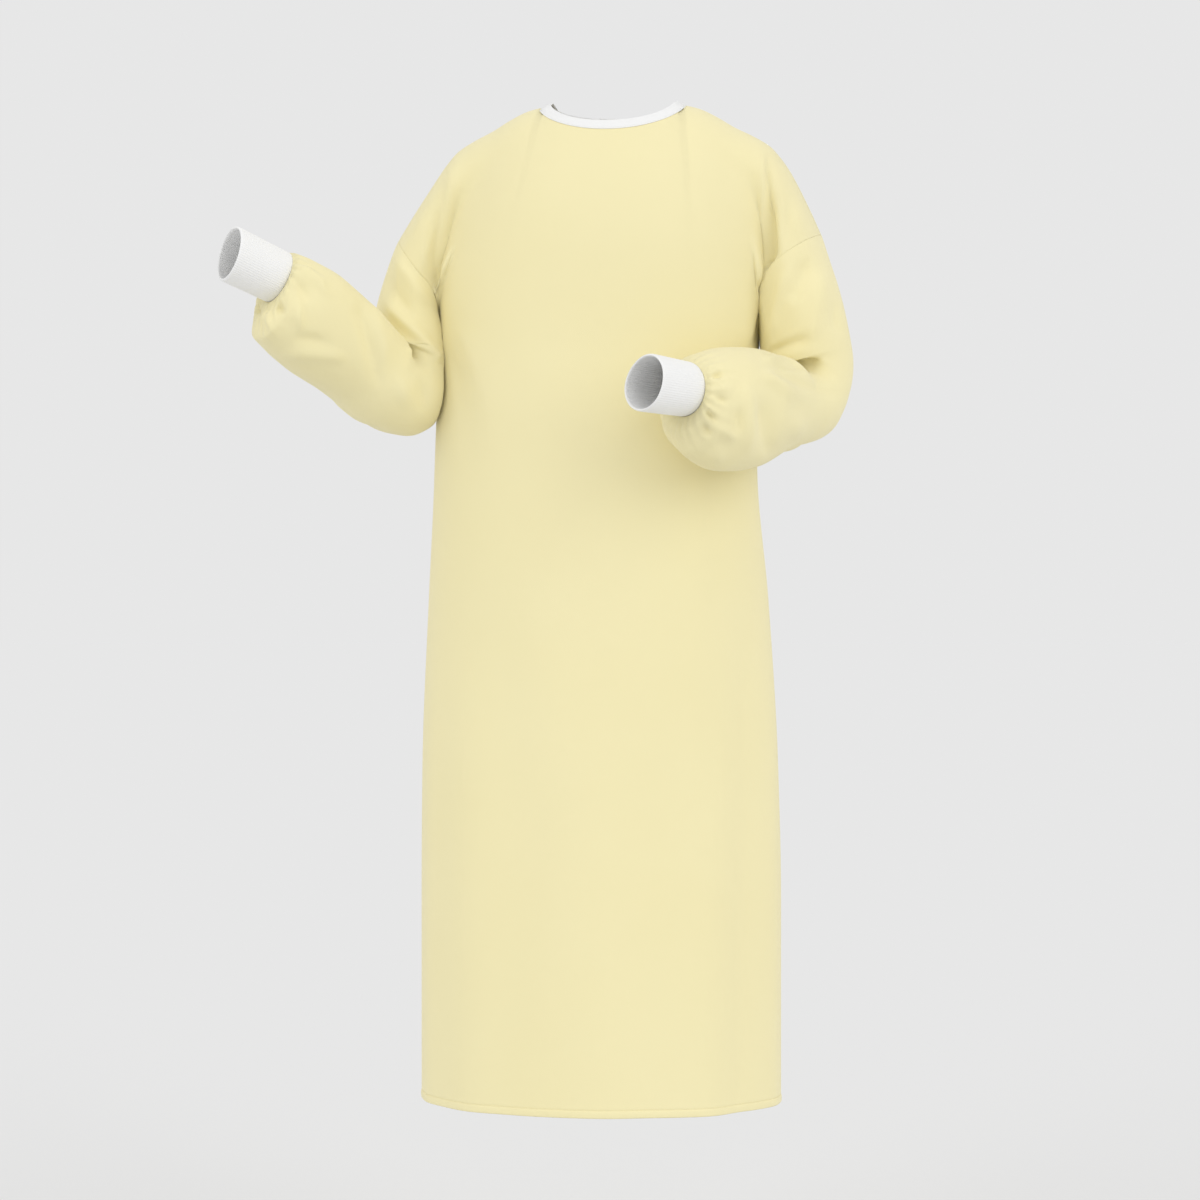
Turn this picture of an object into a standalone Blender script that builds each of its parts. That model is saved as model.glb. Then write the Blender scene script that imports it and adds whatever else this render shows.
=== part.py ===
"""An isolation gown, worn and filled out: front, two lapped backs, two set-in sleeves bent at the
elbow, knit cuffs, a bound neck and a knotted waist tie. Metres, +Z up, the front faces -Y.

The origin is the middle of the neck opening, level with the shoulders beside it. "Left" and
"right" are the wearer's: left is +X.
"""
import math

import bmesh
import bpy
import numpy as np

# ---------------------------------------------------------------- driving sizes
GOWN_LENGTH = 1.193          # shoulder point to hem
WALL = 0.0015                # cloth, as a wall
SEAM_PULL = 0.00018          # each piece stops this far short of the seam line
SEAM_THIN = 0.42             # the share of its wall that a piece keeps right at the seam

NECK_HALF = 0.0875           # half width of the neck, seam to seam
NECK_SEAM_Z = -0.0065        # where the neck seam meets the shoulder seam
FRONT_NECK_DROP = 0.0365     # the front neckline dips this much below that
BACK_NECK_DROP = 0.0150
NECK_CURVE = 0.56            # how square the dip is
BINDING_WIDTH = 0.0150
BINDING_WALL = 0.0022

UNDERARM_Z = -0.290          # the side seam ends here, under the arm
SHOULDER_REACH = 0.200       # the chest takes its full depth this far below the shoulder line
ARM_REACH = 0.100            # the cap over the upper arm does so sooner
FRONT_ARM_DEPTH = 0.072      # how far the cap of the arm stands forward
BACK_ARM_DEPTH = 0.068

HEM_WIDTH = 0.0100
HEM_PROUD = 0.0007           # the turned-up hem stands this much proud

LAP_RISE = 0.0032            # the right back lies over the left back by this much
LAP_RAMP = 0.14              # and climbs over it in this share of its half

CUFF_RADIUS = 0.0308
CUFF_LENGTH = 0.0660
CUFF_WALL = 0.0022
CUFF_SLANT = 0.06            # the open end leans back at the crook's side

TAPE_WALL = 0.0016

LOWER_ROWS = 10
UPPER_ROWS = 14
SLEEVE_ALONG = 18


# ---------------------------------------------------------------- tables
def table(columns, *rows):
    """A table with named columns, each a list of numbers."""
    return {name: [row[i] for row in rows] for i, name in enumerate(columns.split())}


# the body at heights from the underarm to the hem; round is the exponent of its side
BODY = table(
    "z half_width front back round centre",
    (-1.193, 0.2166, 0.140, 0.150, 0.62, -0.0174),
    (-0.950, 0.2166, 0.139, 0.148, 0.60, -0.0174),
    (-0.790, 0.2142, 0.137, 0.143, 0.58, -0.0186),
    (-0.595, 0.2045, 0.133, 0.132, 0.55, -0.0204),
    (-0.450, 0.1945, 0.129, 0.122, 0.52, -0.0235),
    (-0.330, 0.1920, 0.126, 0.120, 0.50, -0.0220),
    (-0.290, 0.1935, 0.125, 0.120, 0.50, -0.0205),
    (-0.250, 0.1950, 0.125, 0.120, 0.50, -0.0185),
    (-0.210, 0.1950, 0.125, 0.120, 0.50, -0.0140),
    (-0.170, 0.1950, 0.125, 0.120, 0.50, -0.0085),
    (-0.130, 0.1950, 0.125, 0.120, 0.50, -0.0050),
    (-0.080, 0.1950, 0.125, 0.120, 0.50, -0.0010),
    (0.0000, 0.1950, 0.125, 0.120, 0.50, 0.0000),
)
BODY_POWER = 2.5

# the line of the shoulder, seen from the front
SHOULDER = table(
    "x z",
    (0.0000, 0.0040), (0.0500, 0.0010), (0.0875, -0.0050), (0.1030, -0.0090), (0.1240, -0.0190),
    (0.1440, -0.0310), (0.1680, -0.0430), (0.1870, -0.0550), (0.1980, -0.0670), (0.2070, -0.0790),
    (0.2220, -0.1030), (0.2360, -0.1270), (0.2490, -0.1510), (0.2550, -0.1630), (0.2650, -0.1900),
    (0.2750, -0.2300), (0.2800, -0.2900),
)

# the fold that runs down from the shoulder to the armpit: where the arm's cap starts and crests
CAP = table(
    "z start crest",
    (-0.290, 0.2000, 0.2500),
    (-0.250, 0.1960, 0.2450),
    (-0.200, 0.1850, 0.2350),
    (-0.150, 0.1760, 0.2250),
    (-0.100, 0.1500, 0.2050),
    (-0.040, 0.0700, 0.1600),
    (0.0000, 0.0300, 0.1300),
)

# half an armhole, from the shoulder tip round to the underarm; out is measured from the body's
# middle, depth is forward on the front and backward on the back
ARMHOLE = table(
    "out depth left_z right_z",
    (0.2545, 0.000, -0.160, -0.160),
    (0.2490, 0.030, -0.165, -0.167),
    (0.2360, 0.058, -0.175, -0.182),
    (0.2160, 0.067, -0.190, -0.204),
    (0.1990, 0.054, -0.207, -0.222),
    (0.1905, 0.039, -0.236, -0.246),
    (0.1928, 0.018, -0.270, -0.273),
    (0.1935, 0.000, -0.290, -0.290),
)


def smooth_read(rows, key, column, at):
    """Read a column of a table at a value of its key, on a smooth curve through its rows."""
    keys = rows[key]
    values = rows[column]
    if keys[0] > keys[-1]:
        keys, values = keys[::-1], values[::-1]
    if at <= keys[0]:
        return values[0]
    if at >= keys[-1]:
        return values[-1]
    i = max(k for k in range(len(keys) - 1) if keys[k] <= at)
    slopes = []
    for k in (i, i + 1):
        low = max(k - 1, 0)
        high = min(k + 1, len(keys) - 1)
        before = (values[k] - values[low]) / (keys[k] - keys[low]) if k > low else None
        after = (values[high] - values[k]) / (keys[high] - keys[k]) if high > k else None
        if before is None or after is None:
            slopes.append(after if before is None else before)
        elif before * after <= 0.0:
            slopes.append(0.0)
        else:
            slopes.append(2.0 * before * after / (before + after))
    span = keys[i + 1] - keys[i]
    t = (at - keys[i]) / span
    return ((1 + 2 * t) * (1 - t) ** 2 * values[i] + t * (1 - t) ** 2 * span * slopes[0]
            + t * t * (3 - 2 * t) * values[i + 1] + t * t * (t - 1) * span * slopes[1])


def ease(t):
    """0 below 0, 1 above 1, and a smooth step between."""
    t = min(max(t, 0.0), 1.0)
    return t * t * (3.0 - 2.0 * t)


def lobe(t, power, roundness):
    """1 in the middle, falling to 0 at t = 1 like the side of a rounded section."""
    t = min(abs(t), 1.0)
    return (1.0 - t ** power) ** roundness


def hump(t):
    """A soft bump, 1 at 0 and nothing past 2 or so."""
    return math.exp(-t * t)


# ---------------------------------------------------------------- the body's surface
def body(column, z):
    return smooth_read(BODY, "z", column, z)


def depth(face, x, z):
    """How far the cloth stands from the middle plane, at x from the body's middle and height z."""
    out = abs(x)
    below = max(smooth_read(SHOULDER, "x", "z", out) - z, 0.0)
    chest = body(face, z) * lobe(out / body("half_width", z), BODY_POWER, body("round", z))
    chest *= lobe(1.0 - min(below / SHOULDER_REACH, 1.0), 2.2, 1.0 / 2.2)
    start = smooth_read(CAP, "z", "start", z)
    crest = smooth_read(CAP, "z", "crest", z)
    cap = 0.0
    if z > UNDERARM_Z and out > start:
        full = FRONT_ARM_DEPTH if face == "front" else BACK_ARM_DEPTH
        cap = full * lobe((crest - out) / (crest - start) if out < crest else 0.0, 2.0, 0.5)
        cap *= lobe(1.0 - min(below / ARM_REACH, 1.0), 2.0, 0.5)
    return (chest ** 5 + cap ** 5) ** 0.2


def armhole(side, t):
    """A point of the armhole seam: t runs 0 at the shoulder tip, by the front, 0.5 at the
    underarm, and by the back to 1. The side is +1 on the left and -1 on the right."""
    t = t % 1.0
    half = min(t, 1.0 - t) * 2.0
    place = half * (len(ARMHOLE["out"]) - 1)
    steps = dict(ARMHOLE, step=list(range(len(ARMHOLE["out"]))))
    z = smooth_read(steps, "step", "left_z" if side > 0 else "right_z", place)
    out = smooth_read(steps, "step", "out", place)
    away = smooth_read(steps, "step", "depth", place)
    forward = -1.0 if t < 0.5 else BACK_ARM_DEPTH / FRONT_ARM_DEPTH
    return np.array((side * out + body("centre", z), forward * away, z))


def top_edge(face, x):
    """The height of a panel's top edge at x: its neckline, then the shoulder seam."""
    if abs(x) < NECK_HALF:
        drop = FRONT_NECK_DROP if face == "front" else BACK_NECK_DROP
        return NECK_SEAM_Z - drop * (1.0 - (x / NECK_HALF) ** 2) ** NECK_CURVE
    return smooth_read(SHOULDER, "x", "z", abs(x))


# ---------------------------------------------------------------- a panel
# where the columns meet the top edge: across is 0 at the middle and 1 at the armhole
ROW_CROWD = 1.6              # the rows crowd towards the rounded shoulder
TOPS = {
    "front": table("across out", (0.0, 0.0), (0.42, NECK_HALF), (0.62, 0.150),
                   (0.82, 0.203), (1.0, 0.2545)),
    "back": table("across out", (0.0, 0.0), (0.24, 0.026), (0.46, NECK_HALF), (0.64, 0.150),
                  (0.82, 0.203), (1.0, 0.2545)),
}


def panel_point(face, side, across, up):
    """A point of the front or back: across is 0 at the middle and 1 at the side, up is 0 at the
    hem, 1 at the underarm and 2 at the top edge."""
    way = -1.0 if face == "front" else 1.0
    turn = across * math.pi / 2.0
    if up <= 1.0:
        z = -GOWN_LENGTH + (UNDERARM_Z + GOWN_LENGTH) * up
        out = body("half_width", z) * math.sin(turn) ** (2.0 / BODY_POWER)
        away = body(face, z) * math.cos(turn) ** (2.0 * body("round", z))
        return np.array((side * out + body("centre", z), way * away, z))
    climb = 1.0 - (2.0 - up) ** ROW_CROWD
    foot_out = body("half_width", UNDERARM_Z) * math.sin(turn) ** (2.0 / BODY_POWER)
    head_out = smooth_read(TOPS[face], "across", "out", across)
    out = foot_out + (head_out - foot_out) * climb
    z = UNDERARM_Z + (top_edge(face, head_out) - UNDERARM_Z) * climb
    # the outermost columns follow the armhole
    seam = armhole(side, (2.0 - up) * 0.5 if face == "front" else 1.0 - (2.0 - up) * 0.5)
    chord_out = body("half_width", UNDERARM_Z) * (1 - climb) + ARMHOLE["out"][0] * climb
    chord_z = UNDERARM_Z + (top_edge(face, ARMHOLE["out"][0]) - UNDERARM_Z) * climb
    seam_out = side * (seam[0] - body("centre", seam[2]))
    pull = across ** 3
    out += pull * (seam_out - chord_out)
    z += pull * (seam[2] - chord_z)
    away = depth(face, out, z)
    miss = abs(seam[1]) - depth(face, seam_out, seam[2])
    away = max(away + miss * ease((across - 0.75) / 0.25), 0.0)
    return np.array((side * out + body("centre", z), way * away, z))


# ---------------------------------------------------------------- meshes
def material(name, colour, roughness):
    made = bpy.data.materials.new(name)
    made.use_nodes = True
    shader = made.node_tree.nodes["Principled BSDF"]
    shader.inputs["Base Color"].default_value = (*colour, 1.0)
    shader.inputs["Roughness"].default_value = roughness
    shader.inputs["Metallic"].default_value = 0.0
    return made


YELLOW = (0.90, 0.82, 0.47)
WHITE = (0.88, 0.88, 0.87)


def sheet(name, grid, colour, wall, ring=False, seams=()):
    """A wall of cloth: rows of points joined by quads, thickened inwards. It thins at its seams,
    so that the inner edges of two pieces that meet at an angle stay apart."""
    rows = len(grid)
    across = len(grid[0])
    verts = [tuple(p) for row in grid for p in row]
    faces = []
    for r in range(rows - 1):
        for c in range(across if ring else across - 1):
            d = (c + 1) % across
            faces.append((r * across + c, r * across + d, (r + 1) * across + d, (r + 1) * across + c))
    mesh = bpy.data.meshes.new(name)
    mesh.from_pydata(verts, [], faces)
    mesh.update()
    mesh.shade_smooth()
    mesh.materials.append(material(name + "_cloth", colour, 0.9))
    piece = bpy.data.objects.new(name, mesh)
    GOWN.objects.link(piece)
    full = piece.vertex_groups.new(name="full_wall")
    pressed = {"first": lambda r, c: r == 0, "last": lambda r, c: r == rows - 1,
               "start": lambda r, c: c == 0, "end": lambda r, c: c == across - 1}
    for r in range(rows):
        for c in range(across):
            if not any(pressed[edge](r, c) for edge in seams):
                full.add([r * across + c], 1.0, "REPLACE")
    thick = piece.modifiers.new("wall", "SOLIDIFY")
    thick.vertex_group = "full_wall"
    thick.thickness_vertex_group = SEAM_THIN
    thick.thickness = wall
    thick.offset = -1.0
    return piece


def pull_back(grid, edges):
    """Move the outermost points of the named edges inwards, to leave room at the seams."""
    grid = [[np.array(p) for p in row] for row in grid]

    def towards(edge, inner):
        steps = [q - p for p, q in zip(edge, inner)]
        return [p + step / max(np.linalg.norm(step), 1e-9) * SEAM_PULL for p, step in zip(edge, steps)]

    if "first" in edges:
        grid[0] = towards(grid[0], grid[1])
    if "last" in edges:
        grid[-1] = towards(grid[-1], grid[-2])
    if "start" in edges:
        for row in grid:
            row[0] = towards(row[:1], row[1:2])[0]
    if "end" in edges:
        for row in grid:
            row[-1] = towards(row[-1:], row[-2:-1])[0]
    return grid


def rises():
    """The heights of a panel's rows: hem, body, chest and the row beside the top seam."""
    hem = HEM_WIDTH / (GOWN_LENGTH + UNDERARM_Z)
    lower = [hem * 1.12 + (1.0 - hem * 1.12) * i / LOWER_ROWS for i in range(LOWER_ROWS + 1)]
    upper = [1.0 + 0.94 * i / UPPER_ROWS for i in range(1, UPPER_ROWS + 1)]
    return [0.0, hem] + lower + upper + [1.975, 2.0]


def hem_lift(up):
    """The turned-up hem is two layers thick, so it stands proud of the panel."""
    return HEM_PROUD if up <= HEM_WIDTH / (GOWN_LENGTH + UNDERARM_Z) + 1e-6 else 0.0


def outward(face, side, across, up):
    """The way out of the cloth at a point of a panel."""
    step = 0.004
    a = panel_point(face, side, max(across - step, 0.0), up)
    b = panel_point(face, side, min(across + step, 1.0), up)
    c = panel_point(face, side, across, max(up - step, 0.0))
    d = panel_point(face, side, across, min(up + step, 2.0))
    way = np.cross(b - a, d - c) * side * (1.0 if face == "front" else -1.0)
    return way / max(np.linalg.norm(way), 1e-12)


def spread(low, high, count):
    """Even steps from low up to, but not with, high."""
    return [low + (high - low) * i / count for i in range(count)]


BACK_EDGE = 0.24             # where the backs' free edges run, as a share of the half back
BESIDE_SEAM = [0.94, 0.974, 1.0]
NECK_COLUMNS = {face: TOPS[face]["across"][-4] for face in TOPS}
COLUMNS = (spread(0.0, NECK_COLUMNS["front"], 6) + spread(NECK_COLUMNS["front"], BESIDE_SEAM[0], 8)
           + BESIDE_SEAM)
BACK_COLUMNS = (spread(0.0, BACK_EDGE, 3) + spread(BACK_EDGE, NECK_COLUMNS["back"], 3)
                + spread(NECK_COLUMNS["back"], BESIDE_SEAM[0], 6) + BESIDE_SEAM)


def front_panel():
    grid = []
    for up in rises():
        half = []
        for across in COLUMNS:
            half.append({side: panel_point("front", side, across, up)
                         + outward("front", side, across, up) * hem_lift(up) for side in (-1, 1)})
        grid.append([h[-1] for h in half[:0:-1]] + [h[1] for h in half])
    seams = ("last", "start", "end")
    return sheet("front_panel", pull_back(grid, seams), YELLOW, WALL, seams=seams)


def lap(across):
    """How far the right back is moved out to lie over the left back. Across is below 0 on the
    wearer's right."""
    return LAP_RISE * ease((across + BACK_EDGE + LAP_RAMP) / LAP_RAMP)


def back_panel(name, side):
    """A back, from its free edge past the middle to its side seam. The right one is moved out
    to lie over the left one."""
    past = [c for c in BACK_COLUMNS if c <= BACK_EDGE + 1e-6]
    grid = []
    for up in rises():
        row = []
        for across, half in [(c, -side) for c in past[:0:-1]] + [(c, side) for c in BACK_COLUMNS]:
            lift = hem_lift(up) + (lap(across * half) if side < 0 else 0.0)
            row.append(panel_point("back", half, across, up) + outward("back", half, across, up) * lift)
        grid.append(row)
    grid = pull_back(grid, ("last", "end"))
    if side > 0:
        grid = [row[::-1] for row in grid]
    return sheet(name, grid, YELLOW, WALL, seams=("last", "start" if side > 0 else "end"))


# ---------------------------------------------------------------- sleeves and cuffs
ELBOW_BEND = 0.046           # the middle of the sleeve turns the elbow on this radius
ARMHOLE_FADE = 0.34          # the sleeve loses the armhole's slant by this share of its length
SEAM_ROLL = 0.0140           # the sleeve rolls over the armhole seam in about this length
SLEEVE_LENGTH = 0.33         # along its middle, armhole to cuff
BODY_CLEAR = 0.0050          # the sleeves lie this far off the body at the sides

# Each sleeve: the elbow and wrist of its middle line, the way its cuff points, its rings and its
# folds. Rings: inner is the crook's side, outer the elbow's, away and toward the sides turned from
# and to the body; lead is how far the outer side runs on towards the hand. Folds: at along the
# sleeve, round in degrees from the crook by the side turned away, long and wide their reach in
# the same measures, raise their height (a trough is below 0), and slant how far along a fold
# moves for each turn round.
SLEEVES = {
    "left_sleeve": dict(
        side=1, elbow=(0.240, 0.010, -0.364), wrist=(0.101, -0.218, -0.358), cuff_way=(-0.63, -0.77, 0.06),
        rings=table(
            "at inner outer away toward lead",
            (0.00, 0.066, 0.050, 0.056, 0.050, 0.000),
            (0.12, 0.066, 0.054, 0.068, 0.050, 0.000),
            (0.25, 0.060, 0.052, 0.062, 0.050, 0.000),
            (0.34, 0.052, 0.050, 0.056, 0.050, 0.000),
            (0.42, 0.038, 0.052, 0.054, 0.052, 0.000),
            (0.54, 0.046, 0.064, 0.058, 0.058, 0.000),
            (0.70, 0.056, 0.084, 0.064, 0.064, 0.000),
            (0.84, 0.052, 0.086, 0.064, 0.062, 0.008),
            (0.93, 0.043, 0.072, 0.052, 0.052, 0.018),
            (0.975, 0.036, 0.050, 0.041, 0.041, 0.014),
            (1.00, 0.0308, 0.0308, 0.0308, 0.0308, 0.000),
        ),
        folds=table(
            "at round long wide raise slant",
            (0.31, -8.0, 0.030, 55.0, 0.0060, 0.10),
            (0.55, 15.0, 0.050, 45.0, 0.0050, 0.12),
            (0.50, 60.0, 0.040, 40.0, -0.0040, 0.15),
            (0.74, 105.0, 0.050, 50.0, 0.0040, 0.05),
        )),
    "right_sleeve": dict(
        side=-1, elbow=(-0.236, -0.047, -0.376), wrist=(-0.3708, -0.187, -0.2239),
        cuff_way=(-0.74, -0.56, 0.37),
        rings=table(
            "at inner outer away toward lead",
            (0.00, 0.066, 0.050, 0.056, 0.050, 0.000),
            (0.12, 0.066, 0.052, 0.072, 0.046, 0.000),
            (0.24, 0.060, 0.054, 0.068, 0.044, 0.000),
            (0.33, 0.052, 0.062, 0.063, 0.048, 0.000),
            (0.42, 0.038, 0.066, 0.058, 0.052, 0.000),
            (0.54, 0.046, 0.054, 0.058, 0.054, 0.000),
            (0.70, 0.050, 0.058, 0.060, 0.060, 0.000),
            (0.84, 0.046, 0.074, 0.060, 0.060, 0.008),
            (0.93, 0.040, 0.078, 0.052, 0.050, 0.016),
            (0.975, 0.035, 0.054, 0.041, 0.040, 0.012),
            (1.00, 0.0308, 0.0308, 0.0308, 0.0308, 0.000),
        ),
        folds=table(
            "at round long wide raise slant",
            (0.30, -5.0, 0.030, 60.0, 0.0070, 0.12),
            (0.53, 5.0, 0.045, 50.0, 0.0050, 0.10),
            (0.74, 100.0, 0.050, 50.0, 0.0030, 0.05),
        )),
}
# the gathers at the wrist, uneven round the sleeve: where, how wide and how deep
GATHERS = table(
    "round wide raise",
    (-165.0, 14.0, 0.0032), (-128.0, 12.0, 0.0026), (-92.0, 13.0, 0.0024), (-52.0, 12.0, 0.0016),
    (-12.0, 12.0, 0.0012), (28.0, 12.0, 0.0014), (66.0, 12.0, 0.0022), (104.0, 14.0, 0.0030),
    (142.0, 13.0, 0.0034),
)
GATHER_AT = 0.955            # they are deepest here
GATHER_REACH = 0.050


def unit(v):
    v = np.array(v, float)
    return v / np.linalg.norm(v)


def armhole_middle(side):
    return np.mean([armhole(side, i / 24) for i in range(24)], axis=0)


def bent_path(start, corner, end, radius):
    """A path along two straight runs joined by an arc. Returns a function that gives its place
    and direction at a share of its length, and the way across the plane of the bend."""
    first, second = unit(corner - start), unit(end - corner)
    bend = math.acos(float(first @ second))
    trim = radius * math.tan(bend / 2)
    run_a = np.linalg.norm(corner - start) - trim
    run_b = np.linalg.norm(end - corner) - trim
    inward = unit(second - first * float(first @ second))
    arc = radius * bend
    total = run_a + arc + run_b

    def at(share):
        s = share * total
        if s < run_a:
            return start + first * s, first
        if s < run_a + arc:
            turn = (s - run_a) / radius
            place = start + first * (run_a + radius * math.sin(turn))
            place = place + inward * radius * (1 - math.cos(turn))
            return place, first * math.cos(turn) + inward * math.sin(turn)
        return end - second * (total - s), second

    return at, np.cross(first, inward), total


def sleeve_frame(spec, at):
    """Middle of the sleeve, its direction, the way to the crook, and the way across it away
    from the body."""
    path, across, total = bent_path(armhole_middle(spec["side"]), np.array(spec["elbow"]),
                                    np.array(spec["wrist"]), ELBOW_BEND)
    place, way = path(at)
    turn = ease((at - 0.78) / 0.22)
    way = unit(way * (1 - turn) + unit(spec["cuff_way"]) * turn)
    inner = unit(np.cross(across, way))
    return place, way, inner, -spec["side"] * unit(np.cross(way, inner))


def ring_angle(spec, t):
    """The sleeve's angle for a point of the armhole: both run round from the shoulder tip."""
    place, way, inner, away = sleeve_frame(spec, 0.0)
    tip = armhole(spec["side"], 0.0) - armhole_middle(spec["side"])
    front = armhole(spec["side"], 0.25) - armhole_middle(spec["side"])
    tip_angle = math.atan2(tip @ away, tip @ inner)
    front_angle = math.atan2(front @ away, front @ inner)
    turns = (front_angle - tip_angle + math.pi) % (2 * math.pi) - math.pi
    return tip_angle + math.copysign(2 * math.pi * t, turns)


def around(degrees, angle):
    """How far an angle is from a place round the sleeve, in degrees, the short way."""
    return (math.degrees(angle) - degrees + 180.0) % 360.0 - 180.0


def sleeve_relief(spec, at, angle):
    """Folds and gathers, as a height on the plain tube."""
    height = 0.0
    folds = spec["folds"]
    for i in range(len(folds["at"])):
        off = around(folds["round"][i], angle)
        along = at - folds["at"][i] - folds["slant"][i] * off / 360.0
        height += folds["raise"][i] * hump(along / folds["long"][i]) * hump(off / folds["wide"][i])
    near_cuff = hump((at - GATHER_AT) / GATHER_REACH) * ease((1.0 - at) / 0.02)
    for i in range(len(GATHERS["round"])):
        off = around(GATHERS["round"][i], angle)
        height += GATHERS["raise"][i] * near_cuff * hump(off / GATHERS["wide"][i])
    return height


def tube_point(spec, at, angle):
    """A point of the sleeve's tube, before it meets the armhole."""
    place, way, inner, away = sleeve_frame(spec, at)
    size = {c: smooth_read(spec["rings"], "at", c, at) for c in spec["rings"]}
    c, s = math.cos(angle), math.sin(angle)
    swell = sleeve_relief(spec, at, angle)
    reach_in = (size["inner"] if c > 0 else size["outer"]) + swell
    reach_side = (size["away"] if s > 0 else size["toward"]) + swell
    return place + inner * reach_in * c + away * reach_side * s + way * size["lead"] * (1 - c) / 2


def off_body(point, clear):
    """Press a point of a sleeve outwards where it would reach into the body's side."""
    x, y, z = point
    if z > UNDERARM_Z + 0.04:
        return point
    centre = body("centre", z)
    side = 1.0 if x > centre else -1.0
    face = "front" if y < 0 else "back"
    share = min(abs(y) / body(face, z), 1.0)
    least = body("half_width", z) * (1.0 - share ** (1.0 / body("round", z))) ** (1.0 / BODY_POWER)
    clear *= ease((UNDERARM_Z + 0.04 - z) / 0.04)
    out = (x - centre) * side
    soft = 0.006
    gap = out - least - clear
    pressed = least + clear + 0.5 * (gap + math.sqrt(gap * gap + soft * soft * ease(clear / 0.002)))
    return np.array((centre + side * max(pressed, out), y, z))


def turned(vector, before, after):
    """Carry a vector from one frame of three axes to another."""
    return sum(a * float(vector @ b) for a, b in zip(after, before))


def roll_off(spec, t, at):
    """The sleeve leaves the seam the way the panel arrives there, and rolls over into its own."""
    top = min(t % 1.0, 1.0 - t % 1.0)
    face = "front" if t % 1.0 < 0.5 else "back"
    up = 2.0 - 2.0 * top
    arrives = unit(panel_point(face, spec["side"], 1.0, up) - panel_point(face, spec["side"], 0.97, up))
    leaves = sleeve_frame(spec, 0.0)[1]
    run = at * SLEEVE_LENGTH
    return ((arrives - leaves) * SEAM_ROLL * (1.0 - math.exp(-run / SEAM_ROLL))
            * ease((0.38 - top) / 0.22))


def sleeve_point(spec, t, at):
    """A point of a sleeve: t runs round it from the shoulder tip, at runs 0 at the armhole to 1
    at the cuff."""
    side = spec["side"]
    angle = ring_angle(spec, t)
    point = tube_point(spec, at, angle)
    if at < ARMHOLE_FADE:
        start, now = sleeve_frame(spec, 0.0), sleeve_frame(spec, at)
        slant = turned(armhole(side, t) - start[0], start[1:], now[1:]) + now[0]
        slant += roll_off(spec, t, at)
        share = math.sin(at / ARMHOLE_FADE * math.pi / 2.0) ** 1.3
        point = slant * (1 - share) + point * share
    return off_body(point, BODY_CLEAR * ease(at / 0.08))


def armhole_stops():
    """Where the rows of the front and back meet the armhole: the sleeve has a point at each."""
    front = [(2.0 - up) / 2.0 for up in rises() if up >= 1.0 - 1e-9][::-1]
    return front + [1.0 - t for t in front[-2:0:-1]]


def sleeve(name):
    spec = SLEEVES[name]
    ats = [0.0, 0.008] + [GATHER_AT * (i + 0.7) / SLEEVE_ALONG for i in range(SLEEVE_ALONG)]
    ats += [0.962, 0.985, 1.0]
    grid = [[sleeve_point(spec, t, at) for t in armhole_stops()] for at in ats]
    grid = pull_back(grid, ("first", "last"))
    if spec["side"] < 0:
        grid = [row[::-1] for row in grid]
    return sheet(name, grid, YELLOW, WALL, ring=True, seams=("first", "last"))


CUFF_SWELL = table("along swell", (0.0, 0.0), (0.045, 0.0), (0.30, 0.0006), (0.62, 0.0010),
                   (0.96, 0.0014), (1.0, 0.0008))


def cuff(name, sleeve_name):
    """A knit cuff: a straight tube, turned in on itself at the open end, a little slanted there."""
    spec = SLEEVES[sleeve_name]
    place, way, inner, away = sleeve_frame(spec, 1.0)
    grid = []
    for along, swell in zip(CUFF_SWELL["along"], CUFF_SWELL["swell"]):
        radius = CUFF_RADIUS + swell
        ring = []
        for t in armhole_stops():
            angle = ring_angle(spec, t)
            slant = 1.0 - CUFF_SLANT * along * math.cos(angle)
            ring.append(place + way * CUFF_LENGTH * along * slant
                        + inner * radius * math.cos(angle) + away * radius * math.sin(angle))
        grid.append(ring)
    grid = pull_back(grid, ("first",))
    if spec["side"] < 0:
        grid = [row[::-1] for row in grid]
    return sheet(name, grid, WHITE, CUFF_WALL, ring=True, seams=("first",))


# ---------------------------------------------------------------- the neck binding
# how far the binding leans in, by the way it faces: -1 the back, 0 the sides, 1 the front
BINDING_LEAN = table("face lean", (-1.0, 0.76), (0.0, 1.80), (1.0, 0.60))
NECK_AXIS_Y = -0.010         # it leans towards this line
# its section, from the neck seam up: it swells a little, then rolls in at the top
BINDING_ROLL = table("share roll", (0.012, 0.0), (0.15, 0.0004), (0.5, 0.0008), (0.85, 0.0002),
                     (1.0, -0.0006))


def neckline():
    """Places along the neck seam, from the left back's free edge round the front to the right
    back's, which is moved out for the lap."""
    back = [c for c in BACK_COLUMNS if c <= NECK_COLUMNS["back"] + 1e-6]
    past = [c for c in back if c <= BACK_EDGE + 1e-6]
    front = [c for c in COLUMNS if c < NECK_COLUMNS["front"] - 1e-6]
    stops = [("back", -1, c, 0.0) for c in past[:0:-1]] + [("back", 1, c, 0.0) for c in back]
    stops += [("front", 1, c, 0.0) for c in front[::-1]] + [("front", -1, c, 0.0) for c in front[1:]]
    stops += [("back", -1, c, lap(-c)) for c in back[::-1]] + [("back", 1, c, lap(c)) for c in past[1:]]
    places = []
    for face, side, across, lift in stops:
        moved = outward(face, side, across, 1.995) * lift if lift else 0.0
        places.append(panel_point(face, side, across, 2.0) + moved)
    return places


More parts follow.
